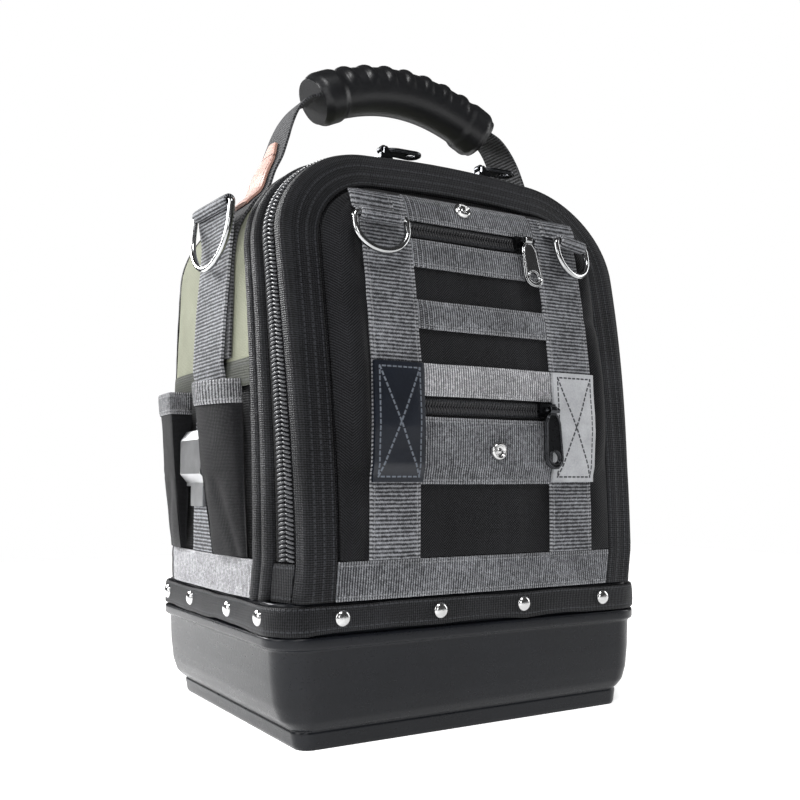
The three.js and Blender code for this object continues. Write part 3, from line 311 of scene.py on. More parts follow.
# Materials: sockets with arithmetic, so that a pattern reads as a formula
class Value:
    def __init__(self, tree, socket):
        self.tree = tree
        self.socket = socket

    def math(self, operation, *others):
        node = self.tree.nodes.new("ShaderNodeMath")
        node.operation = operation
        for slot, item in zip(node.inputs, (self, *others)):
            if isinstance(item, Value):
                self.tree.links.new(item.socket, slot)
            else:
                slot.default_value = item
        return Value(self.tree, node.outputs[0])

    def __add__(self, other):
        return self.math("ADD", other)

    def __sub__(self, other):
        return self.math("SUBTRACT", other)

    def __mul__(self, other):
        return self.math("MULTIPLY", other)

    def __truediv__(self, other):
        return self.math("DIVIDE", other)

    def between(self, low, high):
        """0 below low, 1 above high and smooth between."""
        node = self.tree.nodes.new("ShaderNodeMapRange")
        node.interpolation_type = "SMOOTHSTEP"
        self.tree.links.new(self.socket, node.inputs["Value"])
        node.inputs["From Min"].default_value = low
        node.inputs["From Max"].default_value = high
        return Value(self.tree, node.outputs["Result"])

    def wave(self, pitch):
        """A smooth wave from 0 to 1 that repeats each pitch."""
        return (self * (2 * math.pi / pitch)).math("SINE") * 0.5 + 0.5

    def saw(self, pitch):
        return (self / pitch).math("FRACT")

    def line(self, centre, half, soft=0.15):
        """1 on a line of that half width, 0 away from it."""
        return (self - centre).math("ABSOLUTE").between(half + soft, half)


class Paint:
    """One material: its tree, its cloth coordinates in millimetres, and its shader."""

    def __init__(self, name, roughness=0.8, metallic=0.0, specular=0.5):
        self.material = bpy.data.materials.new(name)
        self.material.use_nodes = True
        self.tree = self.material.node_tree
        self.shader = self.tree.nodes["Principled BSDF"]
        self.set("Roughness", roughness)
        self.set("Metallic", metallic)
        self.set("Specular IOR Level", specular)

    def uv(self):
        node = self.tree.nodes.new("ShaderNodeUVMap")
        node.uv_map = "UVMap"
        split = self.tree.nodes.new("ShaderNodeSeparateXYZ")
        self.tree.links.new(node.outputs["UV"], split.inputs[0])
        return Value(self.tree, split.outputs["X"]) * 100, Value(self.tree, split.outputs["Y"]) * 100

    def noise(self, size, detail=3.0, rough=0.55, stretch=(1, 1, 1)):
        """Noise from 0 to 1 with features of that size in millimetres."""
        node = self.tree.nodes.new("ShaderNodeTexNoise")
        coord = self.tree.nodes.new("ShaderNodeTexCoord")
        mapping = self.tree.nodes.new("ShaderNodeMapping")
        mapping.inputs["Scale"].default_value = [1000 / size * s for s in stretch]
        self.tree.links.new(coord.outputs["Object"], mapping.inputs["Vector"])
        self.tree.links.new(mapping.outputs["Vector"], node.inputs["Vector"])
        node.inputs["Scale"].default_value = 1.0
        node.inputs["Detail"].default_value = detail
        node.inputs["Roughness"].default_value = rough
        return Value(self.tree, node.outputs["Fac"])

    def colour(self, factor, *stops):
        """A ramp from (place, (r, g, b)) stops to the base colour."""
        ramp = self.tree.nodes.new("ShaderNodeValToRGB")
        elements = ramp.color_ramp.elements
        for i, (place, rgb) in enumerate(stops):
            element = elements[i] if i < 2 else elements.new(place)
            element.position = place
            element.color = (*rgb, 1)
        self.tree.links.new(factor.socket, ramp.inputs["Fac"])
        return ramp.outputs["Color"]

    def blend(self, factor, first, second):
        """A colour that goes from first to second with the factor."""
        mix = self.tree.nodes.new("ShaderNodeMix")
        mix.data_type = "RGBA"
        self.tree.links.new(factor.socket, mix.inputs["Factor"])
        for item, slot in ((first, mix.inputs[6]), (second, mix.inputs[7])):
            if isinstance(item, tuple):
                slot.default_value = (*item, 1)
            else:
                self.tree.links.new(item, slot)
        return mix.outputs[2]

    def base(self, socket):
        self.tree.links.new(socket, self.shader.inputs["Base Color"])

    def rough(self, value):
        self.tree.links.new(value.socket, self.shader.inputs["Roughness"])

    def bump(self, height, depth):
        """Height from 0 to 1 as a bump of that depth in millimetres."""
        node = self.tree.nodes.new("ShaderNodeBump")
        node.inputs["Strength"].default_value = 1.0
        node.inputs["Distance"].default_value = depth * MM
        self.tree.links.new(height.socket, node.inputs["Height"])
        self.tree.links.new(node.outputs["Normal"], self.shader.inputs["Normal"])

    def set(self, name, value):
        self.shader.inputs[name].default_value = value

    def sheen(self, weight, roughness):
        self.set("Sheen Weight", weight)
        self.set("Sheen Roughness", roughness)


def webbing(name, dark, light, width, pitch=2.2, stitch=(0.5, 0.5, 0.52), edge_gain=0.55, bars=()):
    """Woven webbing: u is across the tape and v along it, and the ribs run across."""
    paint = Paint(name, roughness=0.72, specular=0.2)
    u, v = paint.uv()
    wobble = paint.noise(9, 2) * 0.7
    rib = (v + wobble).wave(pitch)
    thread = (u + wobble * 0.4).wave(0.85)
    twist = (u + v * 0.6).wave(1.3)
    speck = paint.noise(0.9, 2, 0.7)
    stain = paint.noise(26, 3)
    streak = paint.noise(2.6, 3, 0.75)
    height = rib * 0.62 + thread * 0.18 + twist * 0.1 + speck * 0.22
    shade = height * 0.78 + (speck - 0.5) * 0.5 + (streak - 0.5) * 0.9 + (stain - 0.5) * 0.4 - 0.08
    fabric = paint.colour(shade, (0.18, dark), (0.85, light))
    half = width / 2
    from_centre = (u - half).math("ABSOLUTE")
    edge = from_centre.between(half - 1.6, half - 0.5)
    bead = (v * 1.0).wave(pitch).between(0.25, 0.75)
    stitches = from_centre.line(half - 2.3, 0.3, 0.3) * v.saw(3.1).between(0.2, 0.32)
    pale = (edge * bead * 0.6 * edge_gain).math("MAXIMUM", stitches * speck * 0.42)
    cloth = paint.blend(pale, fabric, stitch)
    for place in bars:
        tack = v.line(place, 0.45, 0.3) * u.wave(1.3).between(0.1, 0.5)
        cloth = paint.blend(tack * 0.85, cloth, dark)
    paint.base(cloth)
    paint.bump(height + stitches * 0.4 + edge * 0.3, 0.55)
    paint.sheen(0.05, 0.5)
    return paint.material


def black_cloth(name, dark=(0.0012, 0.0012, 0.0015), light=(0.020, 0.0207, 0.0235), herringbone=0.0,
                pitch=1.5, depth=0.3):
    """Heavy nylon cloth: a plain basket weave, or a herringbone with columns of that width."""
    paint = Paint(name, roughness=0.6, specular=0.08)
    u, v = paint.uv()
    speck = paint.noise(0.8, 2, 0.7)
    stain = paint.noise(38, 4)
    wobble = paint.noise(14, 2) * 1.2
    if herringbone:
        zigzag = (u / herringbone).math("PINGPONG", 1.0) * herringbone
        weave = (v + zigzag * 0.9 + wobble * 0.4).wave(pitch)
        thread = (u + wobble).wave(0.9)
        height = weave * 0.7 + thread * 0.15 + speck * 0.25
    else:
        warp = (u + wobble).wave(pitch)
        weft = (v + wobble).wave(pitch)
        height = (warp * weft) * 0.55 + (warp + weft) * 0.18 + speck * 0.25
    shade = height * 0.8 + (speck - 0.5) * 0.5 + (stain - 0.5) * 0.5
    paint.base(paint.colour(shade, (0.2, dark), (0.9, light)))
    paint.bump(height + stain * 0.3, depth)
    paint.sheen(0.06, 0.45)
    return paint.material


def binding_tape(name, dark=(0.0012, 0.0012, 0.0015), light=(0.026, 0.027, 0.031), rows=(3.0, 8.5, 14.0)):
    """Ribbed edge tape with rows of stitches; u runs across the tape and v along it."""
    paint = Paint(name, roughness=0.5, specular=0.12)
    u, v = paint.uv()
    wobble = paint.noise(12, 2)
    rib = (v + wobble * 0.8).wave(1.25)
    warp = (u + wobble * 0.8).wave(1.5)
    speck = paint.noise(0.9, 2, 0.7)
    stain = paint.noise(30, 4)
    height = rib * 0.5 + warp * 0.25 + speck * 0.3
    shade = height * 0.8 + (speck - 0.5) * 0.5 + (stain - 0.5) * 0.5
    fabric = paint.colour(shade, (0.2, dark), (0.9, light))
    stitches = None
    for row in rows:
        line = u.line(row, 0.4, 0.3) * v.saw(3.2).between(0.18, 0.3)
        stitches = line if stitches is None else stitches.math("MAXIMUM", line)
    paint.base(paint.blend(stitches * speck * 0.55, fabric, (0.07, 0.073, 0.082)))
    paint.bump(height - stitches * 0.2, 0.35)
    paint.sheen(0.06, 0.45)
    return paint.material


def canvas_cloth(name):
    paint = Paint(name, roughness=0.85, specular=0.2)
    u, v = paint.uv()
    wobble = paint.noise(16, 2)
    warp = (u + wobble).wave(0.9)
    weft = (v + wobble).wave(0.9)
    speck = paint.noise(0.7, 2, 0.7)
    stain = paint.noise(45, 4)
    height = warp * weft * 0.6 + speck * 0.4
    shade = height * 0.5 + stain * 0.6 - 0.05
    paint.base(paint.colour(shade, (0.1, (0.135, 0.14, 0.10)), (0.9, (0.30, 0.31, 0.235))))
    paint.bump(height + stain * 0.8, 0.3)
    paint.sheen(0.05, 0.5)
    return paint.material


def leather_patch(name, dark, light, stitch, width, length, roughness, cross=True):
    """Smooth leather with a stitched border and, where asked, a stitched cross."""
    paint = Paint(name, roughness=roughness, specular=0.35)
    u, v = paint.uv()
    grain = paint.noise(1.1, 4, 0.7)
    stain = paint.noise(14, 3)
    half_u, half_v = width / 2 - 3.0, length / 2 - 3.0
    across, along = u - width / 2, v - length / 2
    in_u = across.math("ABSOLUTE").between(half_u + 0.5, half_u + 0.2)
    in_v = along.math("ABSOLUTE").between(half_v + 0.5, half_v + 0.2)
    sides = across.math("ABSOLUTE").line(half_u, 0.35, 0.25) * in_v * v.saw(3.4).between(0.2, 0.32)
    ends = along.math("ABSOLUTE").line(half_v, 0.35, 0.25) * in_u * u.saw(3.4).between(0.2, 0.32)
    seams = sides.math("MAXIMUM", ends)
    if cross:
        tilt = math.atan2(half_v, half_u)
        for sign in (1, -1):
            offset = across * math.sin(tilt) - along * (sign * math.cos(tilt))
            run = across * math.cos(tilt) + along * (sign * math.sin(tilt))
            thread = offset.line(0, 0.4, 0.3) * run.saw(3.4).between(0.2, 0.32)
            seams = seams.math("MAXIMUM", thread * in_u * in_v)
    shade = grain * 0.5 + stain * 0.5
    paint.base(paint.blend(seams, paint.colour(shade, (0.2, dark), (0.8, light)), stitch))
    paint.rough(grain * 0.18 + (roughness - 0.09) + seams * 0.3)
    paint.bump(grain * 0.35 + seams * 0.9 + stain * 0.4, 0.4)
    paint.set("Coat Weight", 0.08)
    paint.set("Coat Roughness", 0.2)
    return paint.material


def metal(name, colour, roughness):
    paint = Paint(name, roughness=roughness, metallic=1.0)
    grain = paint.noise(2.2, 4, 0.65)
    cloud = paint.noise(9, 3)
    dim = tuple(value * 0.82 for value in colour)
    paint.base(paint.colour(cloud, (0.3, dim), (0.7, colour)))
    paint.rough(grain * 0.08 + roughness)
    paint.bump(grain, 0.03)
    return paint.material


def moulded(name, dark, light, roughness, grain_size=1.6, depth=0.08, specular=0.35):
    paint = Paint(name, roughness=roughness, specular=specular)
    grain = paint.noise(grain_size, 4, 0.6)
    cloud = paint.noise(42, 3)
    scuff = paint.noise(5, 5, 0.7, stretch=(0.3, 0.3, 1.6))
    paint.base(paint.colour(cloud * 0.6 + grain * 0.4, (0.3, dark), (0.75, light)))
    paint.rough(grain * 0.1 + scuff * 0.12 + (roughness - 0.1))
    paint.bump(grain + scuff * 0.3, depth)
    return paint.material


GREY_DARK, GREY_LIGHT = (0.012, 0.0125, 0.0145), (0.33, 0.34, 0.365)
PALE_DARK, PALE_LIGHT = (0.085, 0.086, 0.09), (0.66, 0.66, 0.69)
MATS = {
    "strap": webbing("strap_webbing", GREY_DARK, GREY_LIGHT, STRAP_WIDTH),
    "side_strap": webbing("side_webbing", GREY_DARK, GREY_LIGHT, 50),
    "handle_strap": webbing("handle_webbing", (0.004, 0.004, 0.0045), (0.085, 0.087, 0.095), 38,
                            edge_gain=0.3, stitch=(0.2, 0.2, 0.21)),
    "tab_grey": webbing("tab_webbing", GREY_DARK, GREY_LIGHT, 27),
    "row": webbing("row_webbing", GREY_DARK, GREY_LIGHT, 17, pitch=1.6, bars=(1.5, 5, 8.5)),
    "row_pale": webbing("pale_row_webbing", PALE_DARK, PALE_LIGHT, 18.5, pitch=1.6),
    "row_wide": webbing("wide_row_webbing", GREY_DARK, GREY_LIGHT, 37.7, pitch=1.6),
    "band": webbing("band_webbing", GREY_DARK, GREY_LIGHT, 21.2, pitch=1.6),
    "pale_band": webbing("pale_band_webbing", PALE_DARK, PALE_LIGHT, 21.2, pitch=1.6),
    "mouth": webbing("mouth_webbing", (0.012, 0.012, 0.013), (0.30, 0.305, 0.32), 13.5, pitch=1.8),
    "tab": binding_tape("tab_tape", rows=(2.5, 18.5)),
    "skirt": binding_tape("skirt_binding", rows=(3.0, 15.0)),
    "pocket": black_cloth("pocket_twill", herringbone=8.5, pitch=1.6, depth=0.35),
    "side_pocket": black_cloth("side_pocket_cloth_weave", pitch=0.8, depth=0.2),
    "zip_tape": binding_tape("zip_tape_cloth", rows=(1.2, 7.6)),
    "tub": moulded("tub_plastic", (0.004, 0.0046, 0.0062), (0.0075, 0.0086, 0.0115), 0.28, specular=0.22),
    "cloth": black_cloth("basket_cloth"),
    "binding": binding_tape("binding_tape"),
    "piping": binding_tape("piping_tape", rows=(10.5,)),
    "canvas": canvas_cloth("olive_canvas"),
    "hem": binding_tape("hem_tape", dark=(0.012, 0.013, 0.010), light=(0.085, 0.09, 0.072), rows=(3.0, 12.0)),
    "patch_dark": leather_patch("navy_leather", (0.003, 0.004, 0.007), (0.009, 0.012, 0.019),
                                (0.10, 0.115, 0.14), STRAP_WIDTH, PATCH_TOP - PATCH_BOTTOM, 0.33),
    # The right patch is the same navy leather as the left. Its mid grey with dark stitches is a painted
    # reflection of the light it catches.
    "patch_painted_reflection": leather_patch("navy_leather_painted_reflection", (0.22, 0.225, 0.235), (0.48, 0.49, 0.51),
                                 (0.035, 0.036, 0.04), STRAP_WIDTH, PATCH_TOP - PATCH_BOTTOM, 0.38),
    "tan": leather_patch("tan_leather", (0.30, 0.155, 0.12), (0.48, 0.285, 0.23), (0.13, 0.065, 0.05),
                         26, 44, 0.5, cross=False),
    "chrome": metal("polished_steel", (0.42, 0.425, 0.43), 0.13),
    "nickel": metal("nickel_plate", (0.55, 0.55, 0.55), 0.16),
    "clip": metal("clip_steel", (0.46, 0.465, 0.475), 0.32),
    "gunmetal": metal("gunmetal_pull", (0.055, 0.057, 0.062), 0.24),
    "coil": moulded("coil_plastic", (0.030, 0.031, 0.034), (0.075, 0.077, 0.083), 0.26, grain_size=0.8,
                    depth=0.05),
    "black_coil": moulded("black_coil", (0.012, 0.012, 0.013), (0.03, 0.03, 0.033), 0.32, grain_size=0.8,
                          depth=0.05),
    "rubber": moulded("grip_rubber", (0.005, 0.0052, 0.006), (0.011, 0.0115, 0.013), 0.36, depth=0.12),
}


# Shape helpers
def rounded(points, radius, steps=3, closed=False):
    """A polyline with each corner turned into a short curve."""
    count = len(points)
    result = []
    for i, p in enumerate(points):
        p = np.array(p, float)
        if not closed and i in (0, count - 1):
            result.append(tuple(p))
            continue
        before = np.array(points[i - 1], float)
        after = np.array(points[(i + 1) % count], float)
        a, b = before - p, after - p
        la, lb = np.linalg.norm(a), np.linalg.norm(b)
        reach = min(radius, la * 0.48, lb * 0.48)
        start, end = p + a / la * reach, p + b / lb * reach
        for s in range(steps + 1):
            t = s / steps
            result.append(tuple((1 - t) ** 2 * start + 2 * t * (1 - t) * p + t * t * end))
    return result


def spline(rows, t):
    """A smooth curve through rows of numbers; t runs from 0 to 1 over them."""
    data = np.array(rows, float)
    last = len(data) - 1
    at = clamp(t) * last
    i = min(int(at), last - 1)
    f = at - i
    p0, p1, p2, p3 = data[max(i - 1, 0)], data[i], data[i + 1], data[min(i + 2, last)]
    return 0.5 * (2 * p1 + (p2 - p0) * f + (2 * p0 - 5 * p1 + 4 * p2 - p3) * f ** 2
                  + (3 * p1 - p0 - 3 * p2 + p3) * f ** 3)


def ripple(x, y, z, size, seed=0):
    """Smooth noise from -1 to 1 with folds of that size in millimetres."""
    return noise.noise(Vector((x / size, y / size, z / size + seed * 7.3)))


def lathe(profile, sides, matrix):
    """A turned part: profile is (radius, height) rows, carried by the matrix."""
    points = []
    for radius, height in profile:
        for s in range(sides):
            angle = 2 * math.pi * s / sides
            points.append(matrix @ Vector((radius * math.cos(angle), radius * math.sin(angle), height)))
    return points, ring_faces(len(profile), sides)


def joined(parts):
    points, faces = [], []
    for part_points, part_faces in parts:
        start = len(points)
        points += list(part_points)
        faces += [tuple(i + start for i in face) for face in part_faces]
    return points, faces


def tube(path, radius, sides, closed=False, up=None):
    """A round bar along a path of points, its first side turned from the up direction."""
    count = len(path)
    points = []
    normal = Vector(up) if up else None
    for i, p in enumerate(path):
        before = path[i - 1] if closed or i else path[0]
        after = path[(i + 1) % count] if closed or i < count - 1 else path[-1]
        forward = (Vector(after) - Vector(before)).normalized()
        if normal is None:
            normal = forward.orthogonal()
        normal = (normal - forward * normal.dot(forward)).normalized()
        side = forward.cross(normal)
        for s in range(sides):
            angle = 2 * math.pi * s / sides
            around = normal * math.sin(angle) + side * math.cos(angle)
            points.append(Vector(p) + around * radius)
    return points, ring_faces(count, sides, closed)


def dress_node(node, material, bevel=0.0):
    """A carried-over hard node: smooth shading, soft edges and its own material."""
    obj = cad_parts[node]
    obj.data.materials.clear()
    obj.data.materials.append(material)
    shade_smooth(obj.data, 35)
    if bevel:
        soft = obj.modifiers.new("soft_edges", "BEVEL")
        soft.width = bevel * MM
        soft.segments = 3
        soft.limit_method = "ANGLE"
        soft.angle_limit = math.radians(40)
    return obj


# Base tub
LEAST_CORNER = 4


def plan_point(t, inset_x, inset_y):
    """A place on the rounded plan; each whole step of t is a corner and the straight side after it."""
    radius = max(BASE_CORNER - (inset_x + inset_y) / 2, LEAST_CORNER)
    half_x, half_y = BASE_WIDTH / 2 - inset_x - radius, BASE_DEPTH / 2 - inset_y - radius
    corners = ((1, 1), (-1, 1), (-1, -1), (1, -1))
    quarter = int(t) % 4
    share = t - int(t)
    angle = (quarter + min(share * 2, 1)) * math.pi / 2
    nx, ny = math.cos(angle), math.sin(angle)
    (sx, sy), (ex, ey) = corners[quarter], corners[(quarter + 1) % 4]
    run = max(share * 2 - 1, 0)
    x, y = lerp(sx, ex, run) * half_x, lerp(sy, ey, run) * half_y
    return x + radius * nx, y + radius * ny, nx, ny


CORNER_STEPS, EDGE_STEPS = 16, 14


def plan_stations():
    stations = []
    for quarter in range(4):
        stations += [quarter + 0.5 * i / CORNER_STEPS for i in range(CORNER_STEPS)]
        stations += [quarter + 0.5 + 0.5 * i / EDGE_STEPS for i in range(EDGE_STEPS)]
    return stations


PLAN = plan_stations()
PLAN_LENGTHS = path_lengths([plan_point(t, 0, 0) for t in PLAN])


def plan_ring(name, profile, material, replaced=(), shift=None, sharp=None, side_ratio=1.0):
    """Rings round the plan: profile is (inset, height) rows; shift moves a row's points a little."""
    def place(t, inset, z):
        x, y, nx, ny = plan_point(t, inset * side_ratio if z < LIP_TOP - 1 else inset, inset)
        move = shift(x, y, inset, z) if shift else (0, 0)
        return Vector((x - nx * move[0], y - ny * move[0], z + move[1]))
    obj = sweep_mesh(name, profile, PLAN, place, PLAN_LENGTHS, material, closed_path=True, sharp=sharp)
    return finish_piece(obj, replaced)


# The tub's outer rows: a share of the foot's inset, and of the lip's height
TUB_OUTER = ((1.1, 0.0), (1.03, 0.025), (0.95, 0.145), (1.0, 0.165), (0.84, 0.19), (0.58, 0.255),
             (0.39, 0.39), (0.28, 0.6), (0.22, 0.88), (0.0, 0.905), (0.0, 1.0))
# The hollow's rows: a share of the foot's inset, and a height
TUB_INNER = ((0.66, 25), (1.25, 4))
TUB_INNER_TOP = 52
TUB_WALL = 2.8
SIDE_RATIO = FOOT_INSET_X / FOOT_INSET_Y


def base_tub():
    outer = [(inset * FOOT_INSET_Y, height * LIP_TOP) for inset, height in TUB_OUTER]
    rim = [(RIM_INSET, LIP_TOP), (RIM_INSET, RIM_TOP), (RIM_INSET + TUB_WALL, RIM_TOP)]
    inner = [(RIM_INSET + TUB_WALL, TUB_INNER_TOP)]
    inner += [(FOOT_INSET_Y * share + TUB_WALL, z) for share, z in TUB_INNER]
    profile = rounded(outer + rim + inner, 1.5, 4)
    plan_ring("tub_shell", profile, MATS["tub"], ("base_tub",), sharp=60,
              side_ratio=SIDE_RATIO)


FLOOR_LOW, FLOOR_TOP, FLOOR_TAPER = 0.02, 4, 0.985


def tub_floor():
    inset = FOOT_INSET_Y * 1.1
    ring = [Vector((*plan_point(t, inset * SIDE_RATIO, inset)[:2], FLOOR_LOW)) for t in PLAN]
    count = len(ring)
    points = ring + [p * FLOOR_TAPER + Vector((0, 0, FLOOR_TOP)) for p in ring]
    faces = [tuple(range(count)), tuple(range(2 * count - 1, count - 1, -1))]
    faces += [(i, (i + 1) % count, (i + 1) % count + count, i + count) for i in range(count)]
    obj = make_object("tub_floor", points, faces, None, MATS["tub"], 40)
    finish_piece(obj)


base_tub()
tub_floor()


# Riveted strip round the rim, with wavy edges
SKIRT_THICK = 2.4
SKIRT_FOOT = 60.4
RIVET_PROUD = 0.3


def skirt():
    def shift(x, y, inset, z):
        low = smooth(SKIRT_TOP - z, 9, 15.5)
        high = smooth(z, 71, SKIRT_TOP)
        wave = ripple(x, y, 0, 26, 2)
        dip = 0.8 + 0.9 * ripple(x, y, 0, 33, 8)
        out = -0.45 * ripple(x, y, z, 15, 5) * (1 - smooth(inset, 1.2, 2.2))
        return out, low * max(0.1, 1.1 + 2.4 * wave) - high * max(0, dip)
    outer = [(0.1, SKIRT_FOOT), (-0.35, SKIRT_FOOT + 1), (-0.45, 66), (-0.3, 71.5), (0.0, 75.2),
             (0.5, SKIRT_TOP)]
    inner = [(1.9, SKIRT_TOP), (SKIRT_THICK, 75.8), (SKIRT_THICK, SKIRT_FOOT + 0.2), (1.4, SKIRT_FOOT)]
    return plan_ring("skirt_tape", outer + inner, MATS["skirt"], ("skirt_strip",), shift=shift)


def rivet_cap(x, y, facing):
    profile = rounded(
        [(RIVET_RADIUS, -0.6), (RIVET_RADIUS, 0.3), (RIVET_RADIUS * 0.93, 0.85), (RIVET_RADIUS * 0.72, 1.75),
         (RIVET_RADIUS * 0.4, 2.25), (0.05, 2.4)], 0.8, 3)
    matrix = Matrix.Translation((x, y, RIVET_HEIGHT)) @ facing.to_matrix().to_4x4()
    return lathe(profile, 28, matrix)


def rivets():
    parts = []
    for sign in (1, -1):
        for x in FRONT_RIVET_X:
            for side in (1, -1):
                facing = Vector((0, side, 0)).to_track_quat("Z", "Y")
                parts.append(rivet_cap(sign * x, side * (BASE_DEPTH / 2 + RIVET_PROUD), facing))
        for y in SIDE_RIVET_Y:
            for side in (1, -1):
                facing = Vector((side, 0, 0)).to_track_quat("Z", "Y")
                parts.append(rivet_cap(side * (BASE_WIDTH / 2 + RIVET_PROUD), sign * y, facing))
    obj = make_object("rivet_caps", *joined(parts), None, MATS["nickel"], 50)
    return finish_piece(obj)


skirt()
rivets()


# Soft body: wall, panels and canvas
def wall_sheet(name, stations, y_front, y_back, lift, thick, columns, material, replaced, fold):
    """Cloth over the wall between two edges; fold(station, y) moves its outer face in or out."""
    lengths = path_lengths(stations)
    rows = len(stations) - 1

    def at(u, v, out, folds):
        s = stations[round(v * rows)]
        y = lerp(y_front(s[1]), y_back(s[1]), u)
        extra = fold(s, y) if folds else 0
        return on_wall(s, y, out + extra)

    def uv(u, v):
        i = round(v * rows)
        z = stations[i][1]
        return lerp(y_front(z), y_back(z), u) + EDGE_DEPTH, lengths[i]

    obj = sheet_mesh(name, columns, rows, lambda u, v: at(u, v, lift + thick, True),
                     lambda u, v: at(u, v, lift, False), uv, material)
    return finish_piece(obj, replaced)


def wall_fold(s, y):
    x, z = s[0], s[1]
    return -0.5 - 0.7 * ripple(x * 0.4, y, z, 34, 3) - 0.25 * ripple(x, y, z, 11, 4)


def canvas_fold(s, y):
    x, z = s[0], s[1]
    near = smooth(abs(y + 10), 16, 30)
    return near * (-0.55 + 0.75 * ripple(x * 0.5, y, z, 30, 8) + 0.3 * ripple(x, y, z, 12, 9))


PANEL_INSET = 3.2
WALL_THICK, CANVAS_THICK = 2.2, 1.2
wall_sheet("bag_side_cloth", arch_table(BODY_BOTTOM), lambda z: front_edge(z) + PANEL_INSET,
           lambda z: back_edge(z) - PANEL_INSET, -WALL_THICK, WALL_THICK, 60, MATS["cloth"],
           ("bag_wall",), wall_fold)
wall_sheet("canvas_cover", arch_table(CANVAS_BOTTOM, 20), lambda z: front_edge(z) + CANVAS_START,
           lambda z: back_edge(z) - CANVAS_END, SEAM, CANVAS_THICK, 56, MATS["canvas"],
           ("canvas_panel",), canvas_fold)


HEM_HEIGHT, HEM_LENGTH = 15, 130
HEM_OUTER, HEM_INNER = 2.75, 1.5


def canvas_hems():
    """Dark tape over the canvas's foot on both sides."""
    for side_name, side in SIDES:
        def at(u, v, out, side=side):
            z = lerp(CANVAS_BOTTOM - 1, CANVAS_BOTTOM + HEM_HEIGHT, v)
            y = lerp(front_edge(z) + CANVAS_START + 0.2, back_edge(z) - CANVAS_END - 0.2, u)
            edge = 0.3 * abs(2 * v - 1) ** 6
            return Vector((side * side_x(y, z, out - (edge if out > 2.2 else 0)), y, z))

        obj = layer_mesh(f"canvas_hem_{side_name}", 60, 8, at, HEM_OUTER, HEM_INNER,
                         lambda u, v: (v * HEM_HEIGHT, u * HEM_LENGTH), MATS["hem"])
        finish_piece(obj)


canvas_hems()


PANEL_THICK = 2.4


def panel_point(u, v, inset):
    top = BODY_TOP - CROWN_RISE - inset
    low = lerp(BODY_BOTTOM, top, v)
    across = clamp((low - ARCH_SPRING) / (ARCH_HEIGHT - inset))
    reduced = (ARCH_WIDTH - inset) * (1 - math.sqrt(max(0, 1 - across * across)))
    half = half_width(low) - inset - reduced
    x = lerp(-half, half, u)
    z = low + CROWN_RISE * smooth(v, 0.85, 1) * (1 - (x / half) ** 2)
    return x, z, half, top


def panel(name, edge_at, facing, replaced):
    rows = 70

    def height(v):
        return 1 - (1 - v) ** 1.6

    def at(u, v, back):
        x, z, half, top = panel_point(u, height(v), GAP)
        edge = min(half - abs(x), top + CROWN_RISE - z, z - BODY_BOTTOM + 4)
        crown = smooth(edge, BINDING_WIDTH, BINDING_WIDTH + 26)
        soft = 0.9 * ripple(x, 0, z, 42, facing) * smooth(edge, 14, 34) if back == 0 else 0
        y = edge_at(z) + facing * (crown - back + min(soft, 0) - (0.2 if back == 0 else 0))
        return Vector((x, y, z))

    def uv(u, v):
        x, z, half, top = panel_point(u, height(v), GAP)
        return x + 130, z

    obj = layer_mesh(name, 64, rows, at, 0, PANEL_THICK, uv, MATS["cloth"])
    return finish_piece(obj, replaced)


panel("front_face_cloth", front_edge, -1, ("front_panel",))
panel("back_face_cloth", back_edge, 1, ("back_panel",))


# Binding: tape folded over the arch's edge with a rolled fold
def binding(name, facing, replaced):
    edge_at = front_edge if facing < 0 else back_edge
    face = -GAP - BINDING_THICK
    outer = [(BINDING_WIDTH, -GAP - 0.5), (BINDING_WIDTH - 0.8, face), (12, face - 0.25), (7, face - 0.1),
             (3.2, face - 0.55), (0.8, face - 0.6), (-1.0, face + 0.1), (face - 0.1, -0.2),
             (face - 0.25, 2.5), (face - 0.05, 5), (face, BINDING_RETURN - 0.6),
             (face + 0.7, BINDING_RETURN)]
    inner = [(-GAP, BINDING_RETURN), (-GAP, -GAP), (BINDING_WIDTH, -GAP)]
    section = rounded(outer, 1.2, 3) + inner
    stations = arch_table(BODY_BOTTOM, 40, 26, 14)

    def place(s, inset, depth):
        x, z, nx, nz = s
        swell = 0 if inset > 0 else bulge(edge_at(z) - facing * depth, z)
        soft = 0.22 * ripple(x, depth, z, 9, 6) if depth < face + 0.1 or inset < face + 0.1 else 0
        reach = swell - inset + (soft if inset < 0 else 0)
        high = z + nz * reach
        push = soft if inset > 0 else 0
        return Vector((x + nx * reach, edge_at(high) - facing * (depth - abs(push)), high))

    obj = sweep_mesh(name, section, stations, place, path_lengths(stations), MATS["binding"])
    return finish_piece(obj, replaced)


binding("front_binding_tape", -1, ("front_binding",))
binding("back_binding_tape", 1, ("back_binding",))


# Trims that follow the arch
def arch_sweep(name, section, stations, material, replaced=(), soft=0.0):
    """A trim round the front arch; soft is how far its outer face wanders."""
    def place(s, depth, out):
        x, z = s[0], s[1]
        extra = soft * ripple(x, depth * 3, z, 10, 1) if out > 1 else 0
        return on_wall(s, front_edge(z) + depth, out + extra)

    obj = sweep_mesh(name, section, stations, place, path_lengths(stations), material)
    return finish_piece(obj, replaced)


def roll(start, width, low, rise):
    """Half of a round roll on the wall, as (depth, height) rows."""
    rows, steps = [], 12
    for i in range(steps + 1):
        angle = math.pi * i / steps
        rows.append((start + width / 2 * (1 - math.cos(angle)), low + (rise - low) * math.sin(angle) ** 0.75))
    return rows


